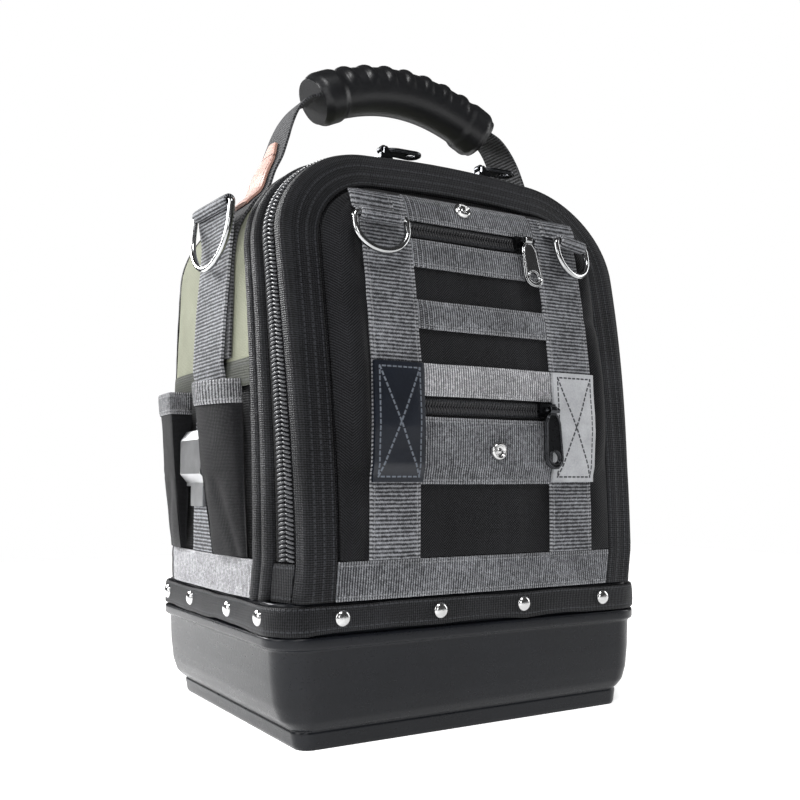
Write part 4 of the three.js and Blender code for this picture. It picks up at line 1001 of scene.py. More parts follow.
def piping():
    half = PIPING_WIDTH / 2
    section = (roll(PIPING_START, half, GAP + 0.6, PIPING_THICK)
               + roll(PIPING_START + half, half, GAP + 0.6, PIPING_THICK)
               + [(PIPING_START + PIPING_WIDTH, GAP), (PIPING_START, GAP)])
    arch_sweep("front_piping_rolls", section, arch_table(BODY_BOTTOM, 60, 34, 18), MATS["piping"],
               ("front_piping",), soft=0.25)


piping()


class Arch:
    """The arch as a path that can be asked for a place at any length along it."""

    def __init__(self, bottom):
        self.stations = arch_table(bottom, 60, 60, 30)
        self.lengths = path_lengths(self.stations)
        self.total = self.lengths[-1]
        self.table = np.array(self.stations)

    def at(self, length):
        return tuple(np.interp(length, self.lengths, self.table[:, k]) for k in range(4))


def tooth(place, half_length, slant, width, low, high, sides=8, rings=6):
    """One zip tooth: place(along, across, out) puts its points; it slants along the zip."""
    points = []
    middle, rise = (low + high) / 2, (high - low) / 2
    for r in range(rings + 1):
        t = 2 * r / rings - 1
        size = max(0.25, (1 - abs(t) ** 3.5) ** 0.5)
        for s in range(sides):
            angle = 2 * math.pi * s / sides
            points.append(place(slant * t + width * size * math.cos(angle), half_length * t,
                                middle + rise * size * math.sin(angle)))
    return points, ring_faces(rings + 1, sides)


TOOTH_PITCH, ZIP_TAPE_TOP = 2.4, 1.1


def main_zip():
    arch = Arch(BAND_TOP)
    parts = []
    for sign, centre in ((-1, ZIP_START + ZIP_WIDTH * 0.27), (1, ZIP_START + ZIP_WIDTH * 0.73)):
        count = int(arch.total / TOOTH_PITCH)
        for i in range(count):
            start = (i + 0.5) * TOOTH_PITCH

            def place(along, across, out):
                s = arch.at(start + along)
                return on_wall(s, front_edge(s[1]) + centre + across, out)

            parts.append(tooth(place, half_length=2.9, slant=-sign * 0.75, width=0.88, low=0.9,
                               high=ZIP_THICK + 0.1))
    obj = make_object("front_zip_teeth", *joined(parts), None, MATS["coil"])
    finish_piece(obj, ("front_zip",))
    section = [(ZIP_START - 1.4, GAP), (ZIP_START - 1.2, ZIP_TAPE_TOP),
               (ZIP_START + ZIP_WIDTH + 3, ZIP_TAPE_TOP), (ZIP_START + ZIP_WIDTH + 3.2, GAP)]
    arch_sweep("front_zip_tape", section, arch_table(BAND_TOP, 50, 30, 16), MATS["cloth"])


main_zip()


# Bottom bands and corner tabs
BAND_THICK = 1.6


def wall_band(name, side, y_front, y_back, bottom, top, material, replaced):
    """A band on the side wall between two edges, with its tape running along Y."""
    def at(u, v, out):
        z = lerp(bottom, top, v)
        y = lerp(y_front(z), y_back(z), u)
        soft = 0.3 * ripple(y, z, side, 18, 3)
        edge = 0.35 * abs(2 * v - 1) ** 6
        return Vector((side * side_x(y, z, out - (edge if out > 1.5 else 0) + soft), y, z))

    def uv(u, v):
        z = lerp(bottom, top, v)
        return z - bottom, lerp(y_front(z), y_back(z), u) + EDGE_DEPTH

    obj = layer_mesh(name, 70, 12, at, SEAM + BAND_THICK, SEAM, uv, material)
    return finish_piece(obj, replaced)


def face_band(name, edge_at, facing, replaced, material):
    def at(u, v, out):
        z = lerp(BAND_BOTTOM, BAND_TOP, v)
        x = lerp(-FRONT_BAND_HALF, FRONT_BAND_HALF, u)
        edge = 0.4 * abs(2 * v - 1) ** 6
        soft = 0.35 * ripple(x, z, facing, 22, 4)
        return Vector((x, edge_at(z) + facing * (out - (edge if out > 1.5 else 0) + soft), z))

    def uv(u, v):
        return v * (BAND_TOP - BAND_BOTTOM), u * 2 * FRONT_BAND_HALF

    obj = layer_mesh(name, 110, 12, at, SEAM + BAND_THICK, SEAM, uv, material)
    return finish_piece(obj, replaced)


face_band("front_band_tape", front_edge, -1, ("front_band",), MATS["band"])
face_band("back_band_tape", back_edge, 1, ("back_band",), MATS["band"])
for side_name, side in SIDES:
    wall_band(f"{side_name}_band_tape", side, lambda z: front_edge(z) + CANVAS_START + 1,
              lambda z: back_edge(z) - BACK_TAB_END - 1, BAND_BOTTOM, BAND_TOP,
              MATS["pale_band"], (f"{side_name}_band",))
    wall_band(f"front_tab_{side_name}_tape", side, lambda z: front_edge(z) + BINDING_RETURN + 1,
              lambda z: front_edge(z) + PIPING_START - 1, BAND_BOTTOM, BAND_TOP - SEAM, MATS["tab"],
              (f"front_tab_{side_name}",))
    wall_band(f"back_tab_{side_name}_tape", side, lambda z: back_edge(z) - BACK_TAB_END,
              lambda z: back_edge(z) - BINDING_RETURN - 1,
              BAND_BOTTOM, BAND_TOP - SEAM, MATS["tab"], (f"back_tab_{side_name}",))


# Front pocket
def arch_half(z, inset):
    rise = clamp((z - ARCH_SPRING) / (ARCH_HEIGHT - inset))
    return half_width(z) - inset - (ARCH_WIDTH - inset) * (1 - math.sqrt(1 - rise * rise))


POCKET_CLOTH = 1.8
# Rolls of the pocket's side: foot, top and rise
GUSSET_ROLLS = ((100, 145.5, 1.8), (149.5, 242, 4.2), (247, 314, 2.0))


def front_pocket():
    columns, rows = 150, 120

    def share_at(u):
        t = 2 * u - 1
        return math.copysign(1 - (1 - abs(t)) ** 1.35, t)

    def at(u, v, back):
        z = lerp(POCKET_BOTTOM, POCKET_TOP, v)
        share = share_at(u)
        half = arch_half(z, BINDING_WIDTH + 1.5)
        fall = clamp((abs(share) - 0.82) / 0.18)
        foot = front_edge(z) - 1 - GAP - POCKET_CLOTH
        face = pocket_y(z)
        y = lerp(face, max(foot, face), fall ** 2.6)
        swell = 0
        if back == 0:
            for low, high, rise in GUSSET_ROLLS:
                if low < z < high:
                    up_roll = math.sin(math.pi * (z - low) / (high - low)) ** 0.6
                    swell += rise * up_roll * math.sin(math.pi * fall) ** 0.8
            swell += 0.4 * ripple(share * 80, z, 0, 17, 2) * smooth(abs(share), 0.8, 0.9)
            swell += 0.12 * ripple(share * 80, z, 0, 9, 5)
        return Vector((share * half, y + back - max(swell, -0.25), z))

    def uv(u, v):
        z = lerp(POCKET_BOTTOM, POCKET_TOP, v)
        return share_at(u) * 108 + 110, z

    obj = layer_mesh("front_pocket_cloth", columns, rows, at, 0, POCKET_CLOTH, uv, MATS["pocket"])
    return finish_piece(obj, ("front_pocket",))


front_pocket()


def face_tape(name, x_low, x_high, z_low, z_high, lift, thick, material, replaced, upright=True,
              wave=0.3, puff=0.0, seed=0):
    """A strip on the pocket's face; upright tapes run up it and the others run along X."""
    wide, high = x_high - x_low, z_high - z_low
    columns = max(8, int(wide / (2.2 if upright else 1.6)))
    rows = max(10, int(high / 1.6))

    def at(u, v, out):
        x, z = lerp(x_low, x_high, u), lerp(z_low, z_high, v)
        across = abs(2 * (u if upright else v) - 1)
        soft = wave * ripple(x, z, lift * 5, 20, seed) + wave
        top = out - 0.35 * across ** 8 + puff * (1 - across ** 2.5) if out > lift else out
        shift = 0.35 * ripple(x * 0.3, z, lift, 30, seed + 1) if upright else 0
        lower = 0 if upright else 0.35 * ripple(x, z * 0.2, lift, 30, seed + 2)
        return Vector((x + shift, pocket_y(z + lower) - top - soft * (1 if out > lift else 0.4), z + lower))

    def uv(u, v):
        return (u * wide, v * high) if upright else (v * high, u * wide)

    obj = layer_mesh(name, columns, rows, at, lift + thick, lift, uv, material)
    return finish_piece(obj, replaced)


STRAP_TOP = POCKET_TOP - 4
LEATHER_THICK = 2.0
for side_name, side in SIDES:
    low, high = sorted((side * (STRAP_X - STRAP_WIDTH / 2), side * (STRAP_X + STRAP_WIDTH / 2)))
    face_tape(f"front_strap_{side_name}_tape", low, high, POCKET_BOTTOM, STRAP_TOP, GAP, WEB_THICK,
              MATS["strap"], (f"front_strap_{side_name}",), seed=side + 3)
    # The right patch gets the navy leather with a painted reflection in its colour; the left one keeps the
    # plain navy.
    patch = MATS["patch_dark"] if side < 0 else MATS["patch_painted_reflection"]
    face_tape(f"front_patch_{side_name}_leather", low, high, PATCH_BOTTOM, PATCH_TOP,
              2 * GAP + WEB_THICK, LEATHER_THICK, patch, (f"front_patch_{side_name}",),
              wave=0.5, puff=0.5, seed=side + 8)

ROW_HALF = STRAP_X - STRAP_WIDTH / 2 - GAP
# Rows of webbing: number, foot, top, look and swell
WEB_ROWS = (
    (1, 294, 311.5, "row", 0.3), (2, 265.5, 282.5, "row", 0.3), (3, 228.5, 245.5, "row", 0.3),
    (4, 190, 208.5, "row_pale", 0.6), (5, 140.3, 178, "row_wide", 0.3),
)
for number, low, high, key, puff in WEB_ROWS:
    face_tape(f"web_row_{number}_tape", -ROW_HALF, ROW_HALF, low, high, GAP, WEB_THICK, MATS[key],
              (f"web_row_{number}",),
              upright=False, puff=puff, seed=number)


# Pocket zips: two rows of fine teeth on a dark tape
ZIP_HEIGHTS = {"upper": 288.4, "lower": 184}
POCKET_PITCH = 1.9
ZIP_TAPE_HALF = 4.4


def pocket_zip(name, z):
    def at(along, across, out):
        return Vector((along, pocket_y(z) - out, z + across))
    parts = []
    for i in range(int(2 * ROW_HALF / POCKET_PITCH)):
        x = -ROW_HALF + (i + 0.5) * POCKET_PITCH
        for sign in (1, -1):
            parts.append(tooth(lambda a, c, o, x=x, sign=sign: at(x + a, c + sign * 1.55, o),
                               half_length=1.7, slant=sign * 0.7, width=0.72, low=1.0, high=2.8,
                               sides=7, rings=4))
    obj = make_object(f"pocket_zip_{name}_teeth", *joined(parts), None, MATS["black_coil"])
    finish_piece(obj, (f"pocket_zip_{name}",))
    face_tape(f"pocket_zip_{name}_tape", -ROW_HALF, ROW_HALF, z - ZIP_TAPE_HALF, z + ZIP_TAPE_HALF,
              GAP, 1.0, MATS["zip_tape"], (), upright=False, wave=0.0)


for zip_name, zip_z in ZIP_HEIGHTS.items():
    pocket_zip(zip_name, zip_z)


# Places on the pocket's face
def face_slope(z):
    return math.atan2(pocket_y(z + 4) - pocket_y(z - 4), 8)


def face_matrix(x, z, out, slope=None):
    """Z points out of the pocket's face and Y up it."""
    lean_angle = face_slope(z) if slope is None else slope
    turn = Matrix.Rotation(math.pi / 2 - lean_angle, 4, "X")
    return Matrix.Translation((x, pocket_y(z) - out, z)) @ turn


SNAPS = {"upper": (-6, 305.5), "lower": (5, 159.5)}


def snaps():
    profile = rounded([(5.6, -0.6), (5.6, 0.9), (5.0, 2.3), (4.3, 2.9), (3.5, 2.8), (3.0, 1.9), (1.7, 1.5),
                       (1.3, 2.1), (0.05, 2.3)], 0.5, 3)
    for name, (x, z) in SNAPS.items():
        matrix = face_matrix(x, z, WEB_THICK + 3 * GAP)
        obj = make_object(f"snap_{name}_stud", *lathe(profile, 36, matrix), None, MATS["nickel"], 60)
        finish_piece(obj, (f"snap_{name}",))


snaps()


# Zip sliders keep their nodes; the pulls are bevelled plates with a raised rim and a round hole
BRIDGE_RADIUS = 1.1
KNUCKLE_RADIUS = BRIDGE_RADIUS + 0.35 + 1.2
SLIDER_RISE = 5
BRIDGE_HEIGHT = SLIDER_RISE + KNUCKLE_RADIUS - 1
PULL_WIDTH, PULL_THICK = 13, 1.8
SLIDER_X = {"upper": 34, "lower": 40}
PULL_LENGTHS = {"upper": 31, "lower": 35, "main": 27}
ZIP_STRIP_THICK = 2.6
MAIN_SLIDER_X = {"left": -42, "right": 32}


def plate(name, outline, holes, thick, bevel, matrix, material, body):
    """A flat plate with soft edges from an outline and holes in its own XY plane."""
    curve = bpy.data.curves.new(name, "CURVE")
    curve.dimensions = "2D"
    curve.fill_mode = "BOTH"
    curve.extrude = (thick / 2 - bevel) * MM
    curve.bevel_depth = bevel * MM
    curve.bevel_resolution = 3
    for loop in (outline, *holes):
        line = curve.splines.new("POLY")
        line.points.add(len(loop) - 1)
        for point, (x, y) in zip(line.points, loop):
            point.co = (x * MM, y * MM, 0, 1)
        line.use_cyclic_u = True
    holder = bpy.data.objects.new(name + "_curve", curve)
    bpy.context.scene.collection.objects.link(holder)
    mesh = bpy.data.meshes.new_from_object(holder.evaluated_get(bpy.context.evaluated_depsgraph_get()))
    bpy.data.objects.remove(holder)
    scaled = matrix.copy()
    scaled.translation = matrix.translation * MM
    mesh.transform(scaled)
    shade_smooth(mesh, 50)
    mesh.materials.clear()
    mesh.materials.append(material)
    obj = bpy.data.objects.new(name, mesh)
    bpy.context.scene.collection.objects.link(obj)
    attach(obj, body)
    return obj


def arc(x, y, radius, start, end, steps):
    angles = [lerp(start, end, i / steps) for i in range(steps + 1)]
    return [(x + radius * math.cos(a), y + radius * math.sin(a)) for a in angles]


def zip_pull(node, length, matrix, material, rim):
    half = PULL_WIDTH / 2
    top = -KNUCKLE_RADIUS + 0.4
    centre = -length + half
    side = [(2.5, top), (half * 0.72, top - 3), (half * 0.86, top - 6), (half, centre)]
    outline = side[:3] + arc(0, centre, half, 0, -math.pi, 28) + [(-x, y) for x, y in reversed(side[:3])]
    hole = arc(0, centre, half * 0.52, 0, 2 * math.pi * 31 / 32, 31)
    obj = plate(node + "_plate", outline, [hole], PULL_THICK, 0.45, matrix, material, node)
    finish_piece(obj, (node,))
    parts = []
    around_hole = [(x * 1.22, centre + (y - centre) * 1.22) for x, y in hole]
    for face in (1, -1):
        inner = [(x * 0.86, centre + (y - centre) * 0.9 if y < centre else y - 0.4) for x, y in outline]
        path = [matrix @ Vector((x, y, face * PULL_THICK / 2)) for x, y in inner]
        parts.append(tube(path, rim, 8, closed=True))
        ring = [matrix @ Vector((x, y, face * PULL_THICK / 2)) for x, y in around_hole]
        parts.append(tube(ring, rim * 0.8, 8, closed=True))
    rims = make_object(node + "_rims", *joined(parts), None, material, None, node)
    finish_piece(rims)
    knuckle = [(KNUCKLE_RADIUS, -2.5), (KNUCKLE_RADIUS, 2.5), (1.45, 2.5), (1.45, -2.5)]
    knuckle = rounded(knuckle, 0.5, 3, closed=True)
    turn = matrix @ Matrix.Rotation(math.pi / 2, 4, "Y")
    points = []
    sides = 28
    for s in range(sides):
        angle = 2 * math.pi * s / sides
        points += [turn @ Vector((r * math.cos(angle), r * math.sin(angle), h)) for r, h in knuckle]
    faces = ring_faces(sides, len(knuckle), closed=True)
    eye = make_object(node + "_eye", points, faces, None, material, 50, node)
    finish_piece(eye)


for pull_name, slider_x in SLIDER_X.items():
    z = ZIP_HEIGHTS[pull_name]
    base = face_matrix(slider_x, z, ZIP_STRIP_THICK + 2 * GAP, min(face_slope(z), 0.25))
    pull_at = base @ Matrix.Translation((0, 0, BRIDGE_HEIGHT))
    finish = MATS["chrome"] if pull_name == "upper" else MATS["gunmetal"]
    zip_pull(f"pocket_pull_{pull_name}", PULL_LENGTHS[pull_name], pull_at, finish, 0.55)
    dress_node(f"pocket_slider_{pull_name}", MATS["gunmetal"], 0.5)

for pull_name, slider_x in MAIN_SLIDER_X.items():
    y = front_edge(BODY_TOP) + ZIP_START + ZIP_WIDTH / 2
    height = BODY_TOP - 0.6 + bulge(y, BODY_TOP) + ZIP_THICK + GAP
    base = Matrix.Translation((slider_x, y, height)) @ Matrix.Rotation(math.pi / 2, 4, "Z")
    pull_at = base @ Matrix.Translation((0, 0, BRIDGE_HEIGHT))
    zip_pull(f"main_pull_{pull_name}", PULL_LENGTHS["main"], pull_at, MATS["gunmetal"], 0.4)
    dress_node(f"main_slider_{pull_name}", MATS["gunmetal"], 0.5)


# D-rings: a straight bar with a round bow below it
RING_WIRE = 1.9


def d_ring(node, width, drop, matrix):
    half = width / 2 + RING_WIRE
    shoulder = drop * 0.3
    bow = [(half * math.cos(math.pi * i / 40), -shoulder - (drop - shoulder) * math.sin(math.pi * i / 40))
           for i in range(41)]
    outline = rounded([(half, 0)] + bow + [(-half, 0)], 3.2, 5, closed=True)
    path = [matrix @ Vector((x, 0, z)) for x, z in outline]
    normal = (matrix.to_3x3() @ Vector((0, 1, 0))).normalized()
    bar = tube(path, RING_WIRE, 20, closed=True, up=normal)
    obj = make_object(node + "_steel", *bar, None, MATS["chrome"], None, node)
    return finish_piece(obj, (node,))


LOOP_HOLE = RING_WIRE + 0.5
LOOP_RADIUS = LOOP_HOLE + WEB_THICK
FRONT_RING_Z = 291
FRONT_RING_X = {"left": 70, "right": 66.5}
FRONT_RING_LIFT = {"left": 4, "right": 6.5}
FRONT_RING_TURN = {"left": 0, "right": 0.3}
FRONT_TAB = ((291, 0), (294.5, 0.3), (298.5, 1), (305.4, 1), (308.5, 1))
FRONT_TAB_WIDTH, FRONT_TAB_LENGTH = 27, 20


def front_ring(name, side):
    centre_x = side * FRONT_RING_X[name]
    turn = FRONT_RING_TURN[name]
    seat = WEB_THICK + 2 * GAP
    bar_y = pocket_y(FRONT_RING_Z) - seat - LOOP_RADIUS - FRONT_RING_LIFT[name]
    matrix = (Matrix.Translation((centre_x, bar_y, FRONT_RING_Z)) @ Matrix.Rotation(turn, 4, "Z")
              @ Matrix.Rotation(-face_slope(FRONT_RING_Z - 12), 4, "X"))
    d_ring(f"front_ring_{name}", 30, 21, matrix)

    def flap(u, v, out):
        across = (u - 0.5) * FRONT_TAB_WIDTH
        z, reach = spline(FRONT_TAB, v)
        reach = clamp(reach)
        edge = 0.3 * abs(2 * u - 1) ** 8 if out > 0 else 0
        loose = bar_y + LOOP_RADIUS + across * math.sin(turn)
        seated = pocket_y(z) - seat
        x = centre_x + across * lerp(math.cos(turn), 1, reach)
        y = lerp(loose, seated, smooth(reach, 0, 1)) - out + edge
        return Vector((x, y, z))

    obj = layer_mesh(f"front_ring_tab_{name}_tape", 16, 30, flap, WEB_THICK * 1.2, 0,
                     lambda u, v: (u * FRONT_TAB_WIDTH, v * FRONT_TAB_LENGTH), MATS["tab_grey"])
    finish_piece(obj, (f"front_ring_tab_{name}",))

    def loop_point(u, v, reach):
        angle, across = v * 2 * math.pi, (u - 0.5) * FRONT_TAB_WIDTH
        spot = Matrix.Rotation(turn, 3, "Z") @ Vector((across, -reach * math.cos(angle), 0))
        return Vector((centre_x + spot.x, bar_y + spot.y, FRONT_RING_Z + reach * math.sin(angle)))

    loop = sheet_mesh(f"front_ring_loop_{name}_tape", 16, 28,
                      lambda u, v: loop_point(u, v, LOOP_RADIUS - 0.3 * abs(2 * u - 1) ** 8),
                      lambda u, v: loop_point(u, v, LOOP_HOLE),
                      lambda u, v: (u * FRONT_TAB_WIDTH, v * 25 + FRONT_TAB_LENGTH), MATS["tab_grey"])
    finish_piece(loop)


for side_name, side in SIDES:
    front_ring(side_name, side)


# Side straps and their D-rings
SIDE_RING_Z, SIDE_RING_Y, SIDE_RING_X = 309, -10, 134.3
SIDE_RING_TURN, SIDE_RING_TILT = 0.07, 0.1
SIDE_STRAP_WIDTH, SIDE_STRAP_LENGTH, SIDE_STRAP_Y, SIDE_STRAP_THICK = 50, 209, 3, 2
SIDE_RING_WIDTH = 50
SIDE_STRAP = ((0, 0.9, 1), (0.2, 0.9, 1), (0.4, 1.2, 1), (0.49, 2.5, 1), (0.54, 5, 0.96), (0.66, 5, 0.85),
              (0.78, 5.2, 0.55), (0.86, 5.2, 0.35), (0.9, 5.2, 0.2), (1, 5.2, 0))


def side_strap(name, side):
    heights = [row[0] for row in SIDE_STRAP]
    top = SIDE_RING_Z - 1

    def at(u, v, out):
        lift, shift = (float(np.interp(v, heights, [row[k] for row in SIDE_STRAP])) for k in (1, 2))
        z = lerp(BAND_TOP + SEAM, top, v)
        centre = lerp(SIDE_RING_Y, SIDE_STRAP_Y, shift)
        across = lerp(-SIDE_STRAP_WIDTH / 2, SIDE_STRAP_WIDTH / 2, u)
        y = centre + across
        on_side = side_x(y, min(z, ARCH_SPRING), lift)
        turned = SIDE_RING_X - LOOP_RADIUS + SIDE_STRAP_THICK / 2 + math.sin(SIDE_RING_TURN) * across
        bend = smooth(v, 0.9, 1)
        edge = 0.35 * abs(2 * u - 1) ** 8 if out > 0 else 0
        soft = (0.35 * ripple(y, z, side, 24, 6) + 0.2) * smooth(v, 0.02, 0.1) * (1 - bend)
        return Vector((side * (lerp(on_side, turned, bend) + out - edge + (soft if out > 0 else 0)), y, z))

    obj = layer_mesh(f"side_strap_{name}_tape", 28, 130, at, SIDE_STRAP_THICK, 0,
                     lambda u, v: (u * SIDE_STRAP_WIDTH, v * SIDE_STRAP_LENGTH), MATS["side_strap"])
    finish_piece(obj, (f"side_strap_{name}",))
    turn = side * (math.pi / 2 - SIDE_RING_TURN)
    base = Matrix.Translation((side * SIDE_RING_X, SIDE_RING_Y, SIDE_RING_Z)) @ Matrix.Rotation(turn, 4, "Z")
    width = SIDE_RING_WIDTH - 3

    def loop_point(u, v, reach):
        angle = 2 * math.pi * v
        across = (u - 0.5) * width
        return base @ Vector((across, -reach * math.cos(angle), reach * math.sin(angle)))

    loop = sheet_mesh(f"side_strap_loop_{name}_tape", 26, 32,
                      lambda u, v: loop_point(u, v, LOOP_RADIUS + 0.1 - 0.3 * abs(2 * u - 1) ** 8),
                      lambda u, v: loop_point(u, v, LOOP_HOLE),
                      lambda u, v: (u * width, v * 27), MATS["side_strap"])
    finish_piece(loop)
    d_ring(f"side_ring_{name}", SIDE_RING_WIDTH, 38, base @ Matrix.Rotation(-SIDE_RING_TILT, 4, "X"))


for side_name, side in SIDES:
    side_strap(side_name, side)


# Handle straps, leather patches and grip
HANDLE_Y = -10
HANDLE_LIFT = SEAM + CANVAS_THICK + 2 * GAP
# The handle's path: up the side, round the arch and then free of the bag
HANDLE_SIDE_Z = (215, 232, 254)
HANDLE_ARCH_DEGREES = (0, 16, 31, 43)
HANDLE_FREE = ((101, 333), (96, 343.5), (92, 355), (88, 367), (83, 377.5), (76, 386), (68, 390.4),
               (60, 394.4))
HANDLE_WIDTHS = (38, 38, 38, 38, 38, 38, 38, 38, 38, 36, 33, 29, 26, 24, 24)
HANDLE_THICK, TAN_THICK = 1.8, 1.8
PATCH_WIDTHS = (26, 26, 26, 22, 12)
PATCH_START = 5


def handle_path():
    path = [(half_width(z) + bulge(HANDLE_Y, z) + HANDLE_LIFT, z) for z in HANDLE_SIDE_Z]
    for degrees in HANDLE_ARCH_DEGREES:
        angle = math.radians(degrees)
        z = ARCH_SPRING + ARCH_HEIGHT * math.sin(angle)
        reach = bulge(HANDLE_Y, z) + HANDLE_LIFT
        x = half_width(ARCH_SPRING) - ARCH_WIDTH * (1 - math.cos(angle))
        path.append((x + math.cos(angle) * reach, z + math.sin(angle) * reach))
    return path + list(HANDLE_FREE)


HANDLE_PATH = handle_path()
HANDLE_LAST = len(HANDLE_PATH) - 1


def handle_layer(name, side, start, end, lift, thick, widths, material, replaced, crown=0.0):
    """A layer along the handle's path between two of its points."""
    columns, steps = 18, 9
    rows = (end - start) * steps

    def frame_at(i):
        t = clamp(i / HANDLE_LAST)
        here = spline(HANDLE_PATH, t)
        ahead = spline(HANDLE_PATH, clamp(t + 0.004)) - spline(HANDLE_PATH, clamp(t - 0.004))
        ahead = ahead / np.linalg.norm(ahead)
        return here, ahead

    spots = [frame_at(start + r / steps) for r in range(rows + 1)]
    lengths = path_lengths([here for here, ahead in spots])

    def at(u, v, out):
        here, ahead = spots[round(v * rows)]
        width = float(np.interp(v * (len(widths) - 1), range(len(widths)), widths))
        across = abs(2 * u - 1)
        top = out + (crown * (1 - across ** 2) - 0.3 * across ** 8 if out > lift else 0)
        x, z = here[0] + ahead[1] * top, here[1] - ahead[0] * top
        return Vector((side * x, HANDLE_Y + (u - 0.5) * width, z))

    def uv(u, v):
        width = float(np.interp(v * (len(widths) - 1), range(len(widths)), widths))
        return widths[0] / 2 + (u - 0.5) * width, lengths[round(v * rows)]

    obj = layer_mesh(name, columns, rows, at, lift + thick, lift, uv, material)
    return finish_piece(obj, replaced)


for side_name, side in SIDES:
    handle_layer(f"handle_strap_{side_name}_tape", side, 0, HANDLE_LAST, 0, HANDLE_THICK, HANDLE_WIDTHS,
                 MATS["handle_strap"], (f"handle_strap_{side_name}",))
    handle_layer(f"handle_patch_{side_name}_leather", side, PATCH_START, PATCH_START + 4,
                 HANDLE_THICK + 2 * GAP, TAN_THICK, PATCH_WIDTHS, MATS["tan"],
                 (f"handle_patch_{side_name}",), crown=0.5)

GRIP_HALF, GRIP_TOP_Z, GRIP_SAG, GRIP_RADIUS = 67, 409, 18.6, 17.5
GRIP_RIBS, RIB_RISE = 8, 1.5


def handle_grip():
    stations, sides = 200, 44
    points = []
    for i in range(stations + 1):
        share = 2 * i / stations - 1
        x, z = share * GRIP_HALF, GRIP_TOP_Z - GRIP_SAG * share * share
        slope = math.atan2(-2 * GRIP_SAG * share, GRIP_HALF)
        in_ribs = 1 - smooth(abs(share), 0.72, 0.8)
        rib = max(0, math.cos(share * GRIP_RIBS * math.pi / 0.85)) ** 0.7 * in_ribs
        end = smooth(abs(share), 0.9, 1)
        for s in range(sides):
            angle = 2 * math.pi * s / sides
            upper = smooth(math.sin(angle), -0.25, 0.6)
            swell = RIB_RISE * max(rib * upper, 1 - in_ribs)
            radius = GRIP_RADIUS - RIB_RISE + swell - 2.5 * end * end
            up = radius * math.sin(angle)
            points.append(Vector((x - up * math.sin(slope), HANDLE_Y + radius * math.cos(angle),
                                  z + up * math.cos(slope))))
    faces = ring_faces(stations + 1, sides)
    obj = make_object("handle_grip_rubber", points, faces, None, MATS["rubber"], 60)
    return finish_piece(obj, ("handle_grip",))


handle_grip()


# Pockets on the left side
SIDE_POCKETS = {
    "front": {
        "top": 201, "mouth_y": (-44, -5), "foot_y": (-56.2, -19), "stand": (3, 13), "lift": (2.3, 5),
        "plan": ((0, 0), (0.1, 0.4), (0.35, 0.75), (0.7, 0.98), (0.94, 1), (1, 0.86), (0.99, 0.4), (0.98, 0)),
    },
    "rear": {
        "top": 199, "mouth_y": (38, 80), "foot_y": (43, 77), "stand": (3.5, 15), "lift": (2.4, 2.4),
        "plan": ((0, 0), (0, 0.45), (0.01, 0.86), (0.07, 1), (0.4, 1), (0.75, 0.88), (0.93, 0.55), (1, 0)),
    },
}
SIDE_POCKET_BOTTOM = 99.8
SIDE_POCKET_WALL = 1.8
MOUTH_SPAN = (0.865, 1.005)


# Pleats: place across the pocket, lean, width and depth
PLEATS = ((0.3, 0.0035, 0.05, 1.1), (0.62, -0.003, 0.06, 1.0), (0.8, 0.002, 0.04, 0.7))


def pocket_crease(u, z):
    """The fold line low on a side pocket and the pleats under it."""
    below = 1 - smooth(z, 141, 149)
    line = math.exp(-((z - 147) / 1.6) ** 2)
    pleats = 0.0
    for middle, tilt, width, depth in PLEATS:
        pleats += depth * math.exp(-((u - middle - (z - 120) * tilt) / width) ** 2)
    return -below * (0.5 + pleats) - 0.4 * line


def side_pocket(name, pocket):
    columns, rows = 56, 70
    plan = pocket["plan"]

    def spot(u, v):
        share, stand = spline(plan, u)
        start = lerp(pocket["foot_y"][0], pocket["mouth_y"][0], v)
        end = lerp(pocket["foot_y"][1], pocket["mouth_y"][1], v)
        y = lerp(start, end, share)
        z = lerp(SIDE_POCKET_BOTTOM, pocket["top"], v)
        out = lerp(*pocket["lift"], share) + max(stand, 0) * lerp(*pocket["stand"], v ** 0.8)
        return Vector((y, side_x(y, z, out)))

    def at(u, v, depth, low=0.0, high=1.0, rise=0.0):
        height = lerp(low, high, v)
        here = spot(u, height)
        tangent = (spot(clamp(u + 0.01), height) - spot(clamp(u - 0.01), height)).normalized()
        seam = smooth(min(u, 1 - u), 0, 0.06)
        z = lerp(SIDE_POCKET_BOTTOM, pocket["top"], height)
        soft = 0 if depth else seam * (0.5 * ripple(here.x, z, 0, 17, 5) - 0.25 + 0.8 * pocket_crease(u, z))
        move = depth - rise * seam - soft
        return Vector((-(here.y - tangent.x * move), here.x + tangent.y * move, z))

    def uv(u, v, low=0.0, high=1.0):
        return u * 56, lerp(low, high, v) * 100

    obj = layer_mesh(f"side_pocket_{name}_cloth", columns, rows, at, 0, SIDE_POCKET_WALL, uv,
                     MATS["side_pocket"])
    finish_piece(obj, (f"side_pocket_{name}",))
    band = sheet_mesh(f"side_pocket_{name}_mouth", columns, 16,
                      lambda u, v: at(u, v, 0, *MOUTH_SPAN, 1.1 - 0.5 * abs(2 * v - 1) ** 6),
                      lambda u, v: at(u, v, 0, *MOUTH_SPAN, 0.1),
                      lambda u, v: (v * 13.5, u * 62), MATS["mouth"])
    finish_piece(band)


for pocket_name, pocket in SIDE_POCKETS.items():
    side_pocket(pocket_name, pocket)

dress_node("tape_clip", MATS["clip"], 0.5)


# Lights and floor
def area_light(name, place, aim, size, power):
    data = bpy.data.lights.new(name, "AREA")
    data.shape = "RECTANGLE"
    data.size, data.size_y = size
    data.energy = power
    light = bpy.data.objects.new(name, data)
    bpy.context.scene.collection.objects.link(light)
    direction = Vector(aim) - Vector(place)
    light.matrix_world = Matrix.Translation(place) @ direction.to_track_quat("-Z", "Y").to_matrix().to_4x4()


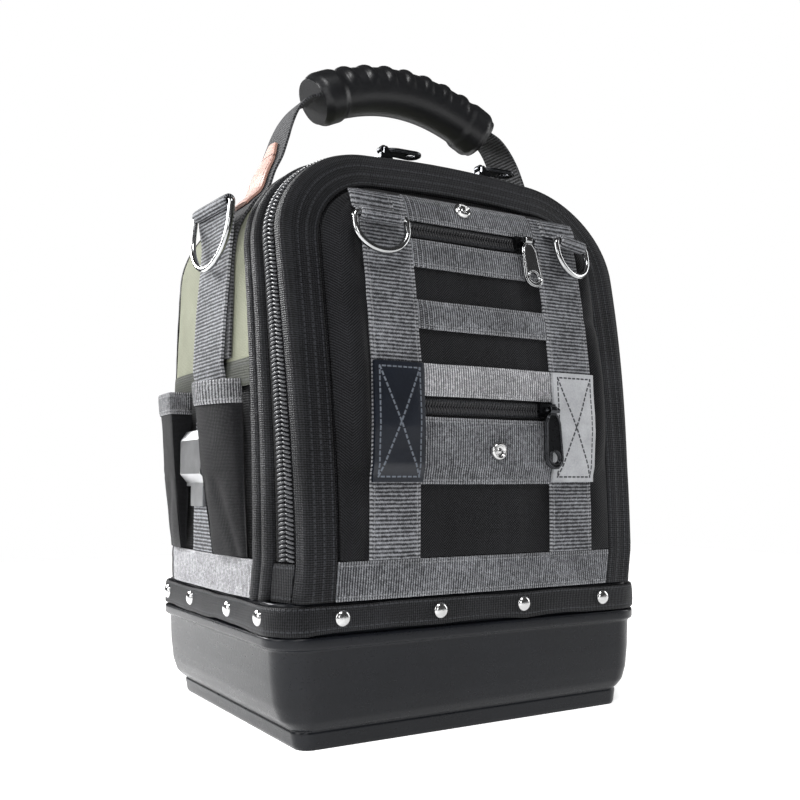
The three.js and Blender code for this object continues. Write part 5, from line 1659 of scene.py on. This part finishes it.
# Area lights in metres: name, place, aim, size and power
LIGHTS = (
    ("left_box", (-1.4, -0.15, 0.7), (-0.1, 0, 0.2), (0.7, 1.0), 11),
    ("key", (-0.45, -1.0, 1.7), (0, -0.05, 0.2), (0.6, 0.45), 19),
    ("low_front", (-0.9, -1.4, 0.5), (0, 0, 0.12), (0.5, 0.5), 4),
    ("right_box", (1.5, -0.5, 0.6), (0.1, 0, 0.2), (0.5, 1.0), 7),
    ("rear_left", (-0.9, 1.1, 0.9), (-0.5, 0.35, 0), (0.7, 0.5), 36),
    ("rear", (0.5, 1.6, 1.2), (0, 0, 0.25), (1.2, 0.8), 9),
)
WORLD_STRENGTH = 0.07
FLOOR_HALF, FLOOR_GLOW = 1.3, 0.6


def studio():
    """A dim world lights the part, while the camera sees a white one."""
    for light in LIGHTS:
        area_light(*light)
    world = bpy.data.worlds.new("world")
    world.use_nodes = True
    tree = world.node_tree
    soft = tree.nodes["Background"]
    soft.inputs["Color"].default_value = (1, 1, 1, 1)
    soft.inputs["Strength"].default_value = WORLD_STRENGTH
    white = tree.nodes.new("ShaderNodeBackground")
    white.inputs["Color"].default_value = (1, 1, 1, 1)
    path = tree.nodes.new("ShaderNodeLightPath")
    mix = tree.nodes.new("ShaderNodeMixShader")
    tree.links.new(path.outputs["Is Camera Ray"], mix.inputs["Fac"])
    tree.links.new(soft.outputs["Background"], mix.inputs[1])
    tree.links.new(white.outputs["Background"], mix.inputs[2])
    tree.links.new(mix.outputs["Shader"], tree.nodes["World Output"].inputs["Surface"])
    bpy.context.scene.world = world
    scene = bpy.context.scene
    scene.view_settings.view_transform = "Standard"
    scene.view_settings.look = "None"


def floor():
    size = FLOOR_HALF
    mesh = bpy.data.meshes.new("floor")
    corners = [(-size, -size, 0), (size, -size, 0), (size, size, 0), (-size, size, 0)]
    mesh.from_pydata(corners, [], [(0, 1, 2, 3)])
    obj = bpy.data.objects.new("floor", mesh)
    bpy.context.scene.collection.objects.link(obj)
    paint = Paint("floor_paint", roughness=0.6, specular=0.2)
    paint.base(paint.colour(paint.noise(400, 2), (0.2, (0.93, 0.93, 0.93)), (0.8, (0.97, 0.97, 0.97))))
    paint.set("Emission Color", (1, 1, 1, 1))
    paint.set("Emission Strength", FLOOR_GLOW)
    mesh.materials.append(paint.material)


studio()
floor()
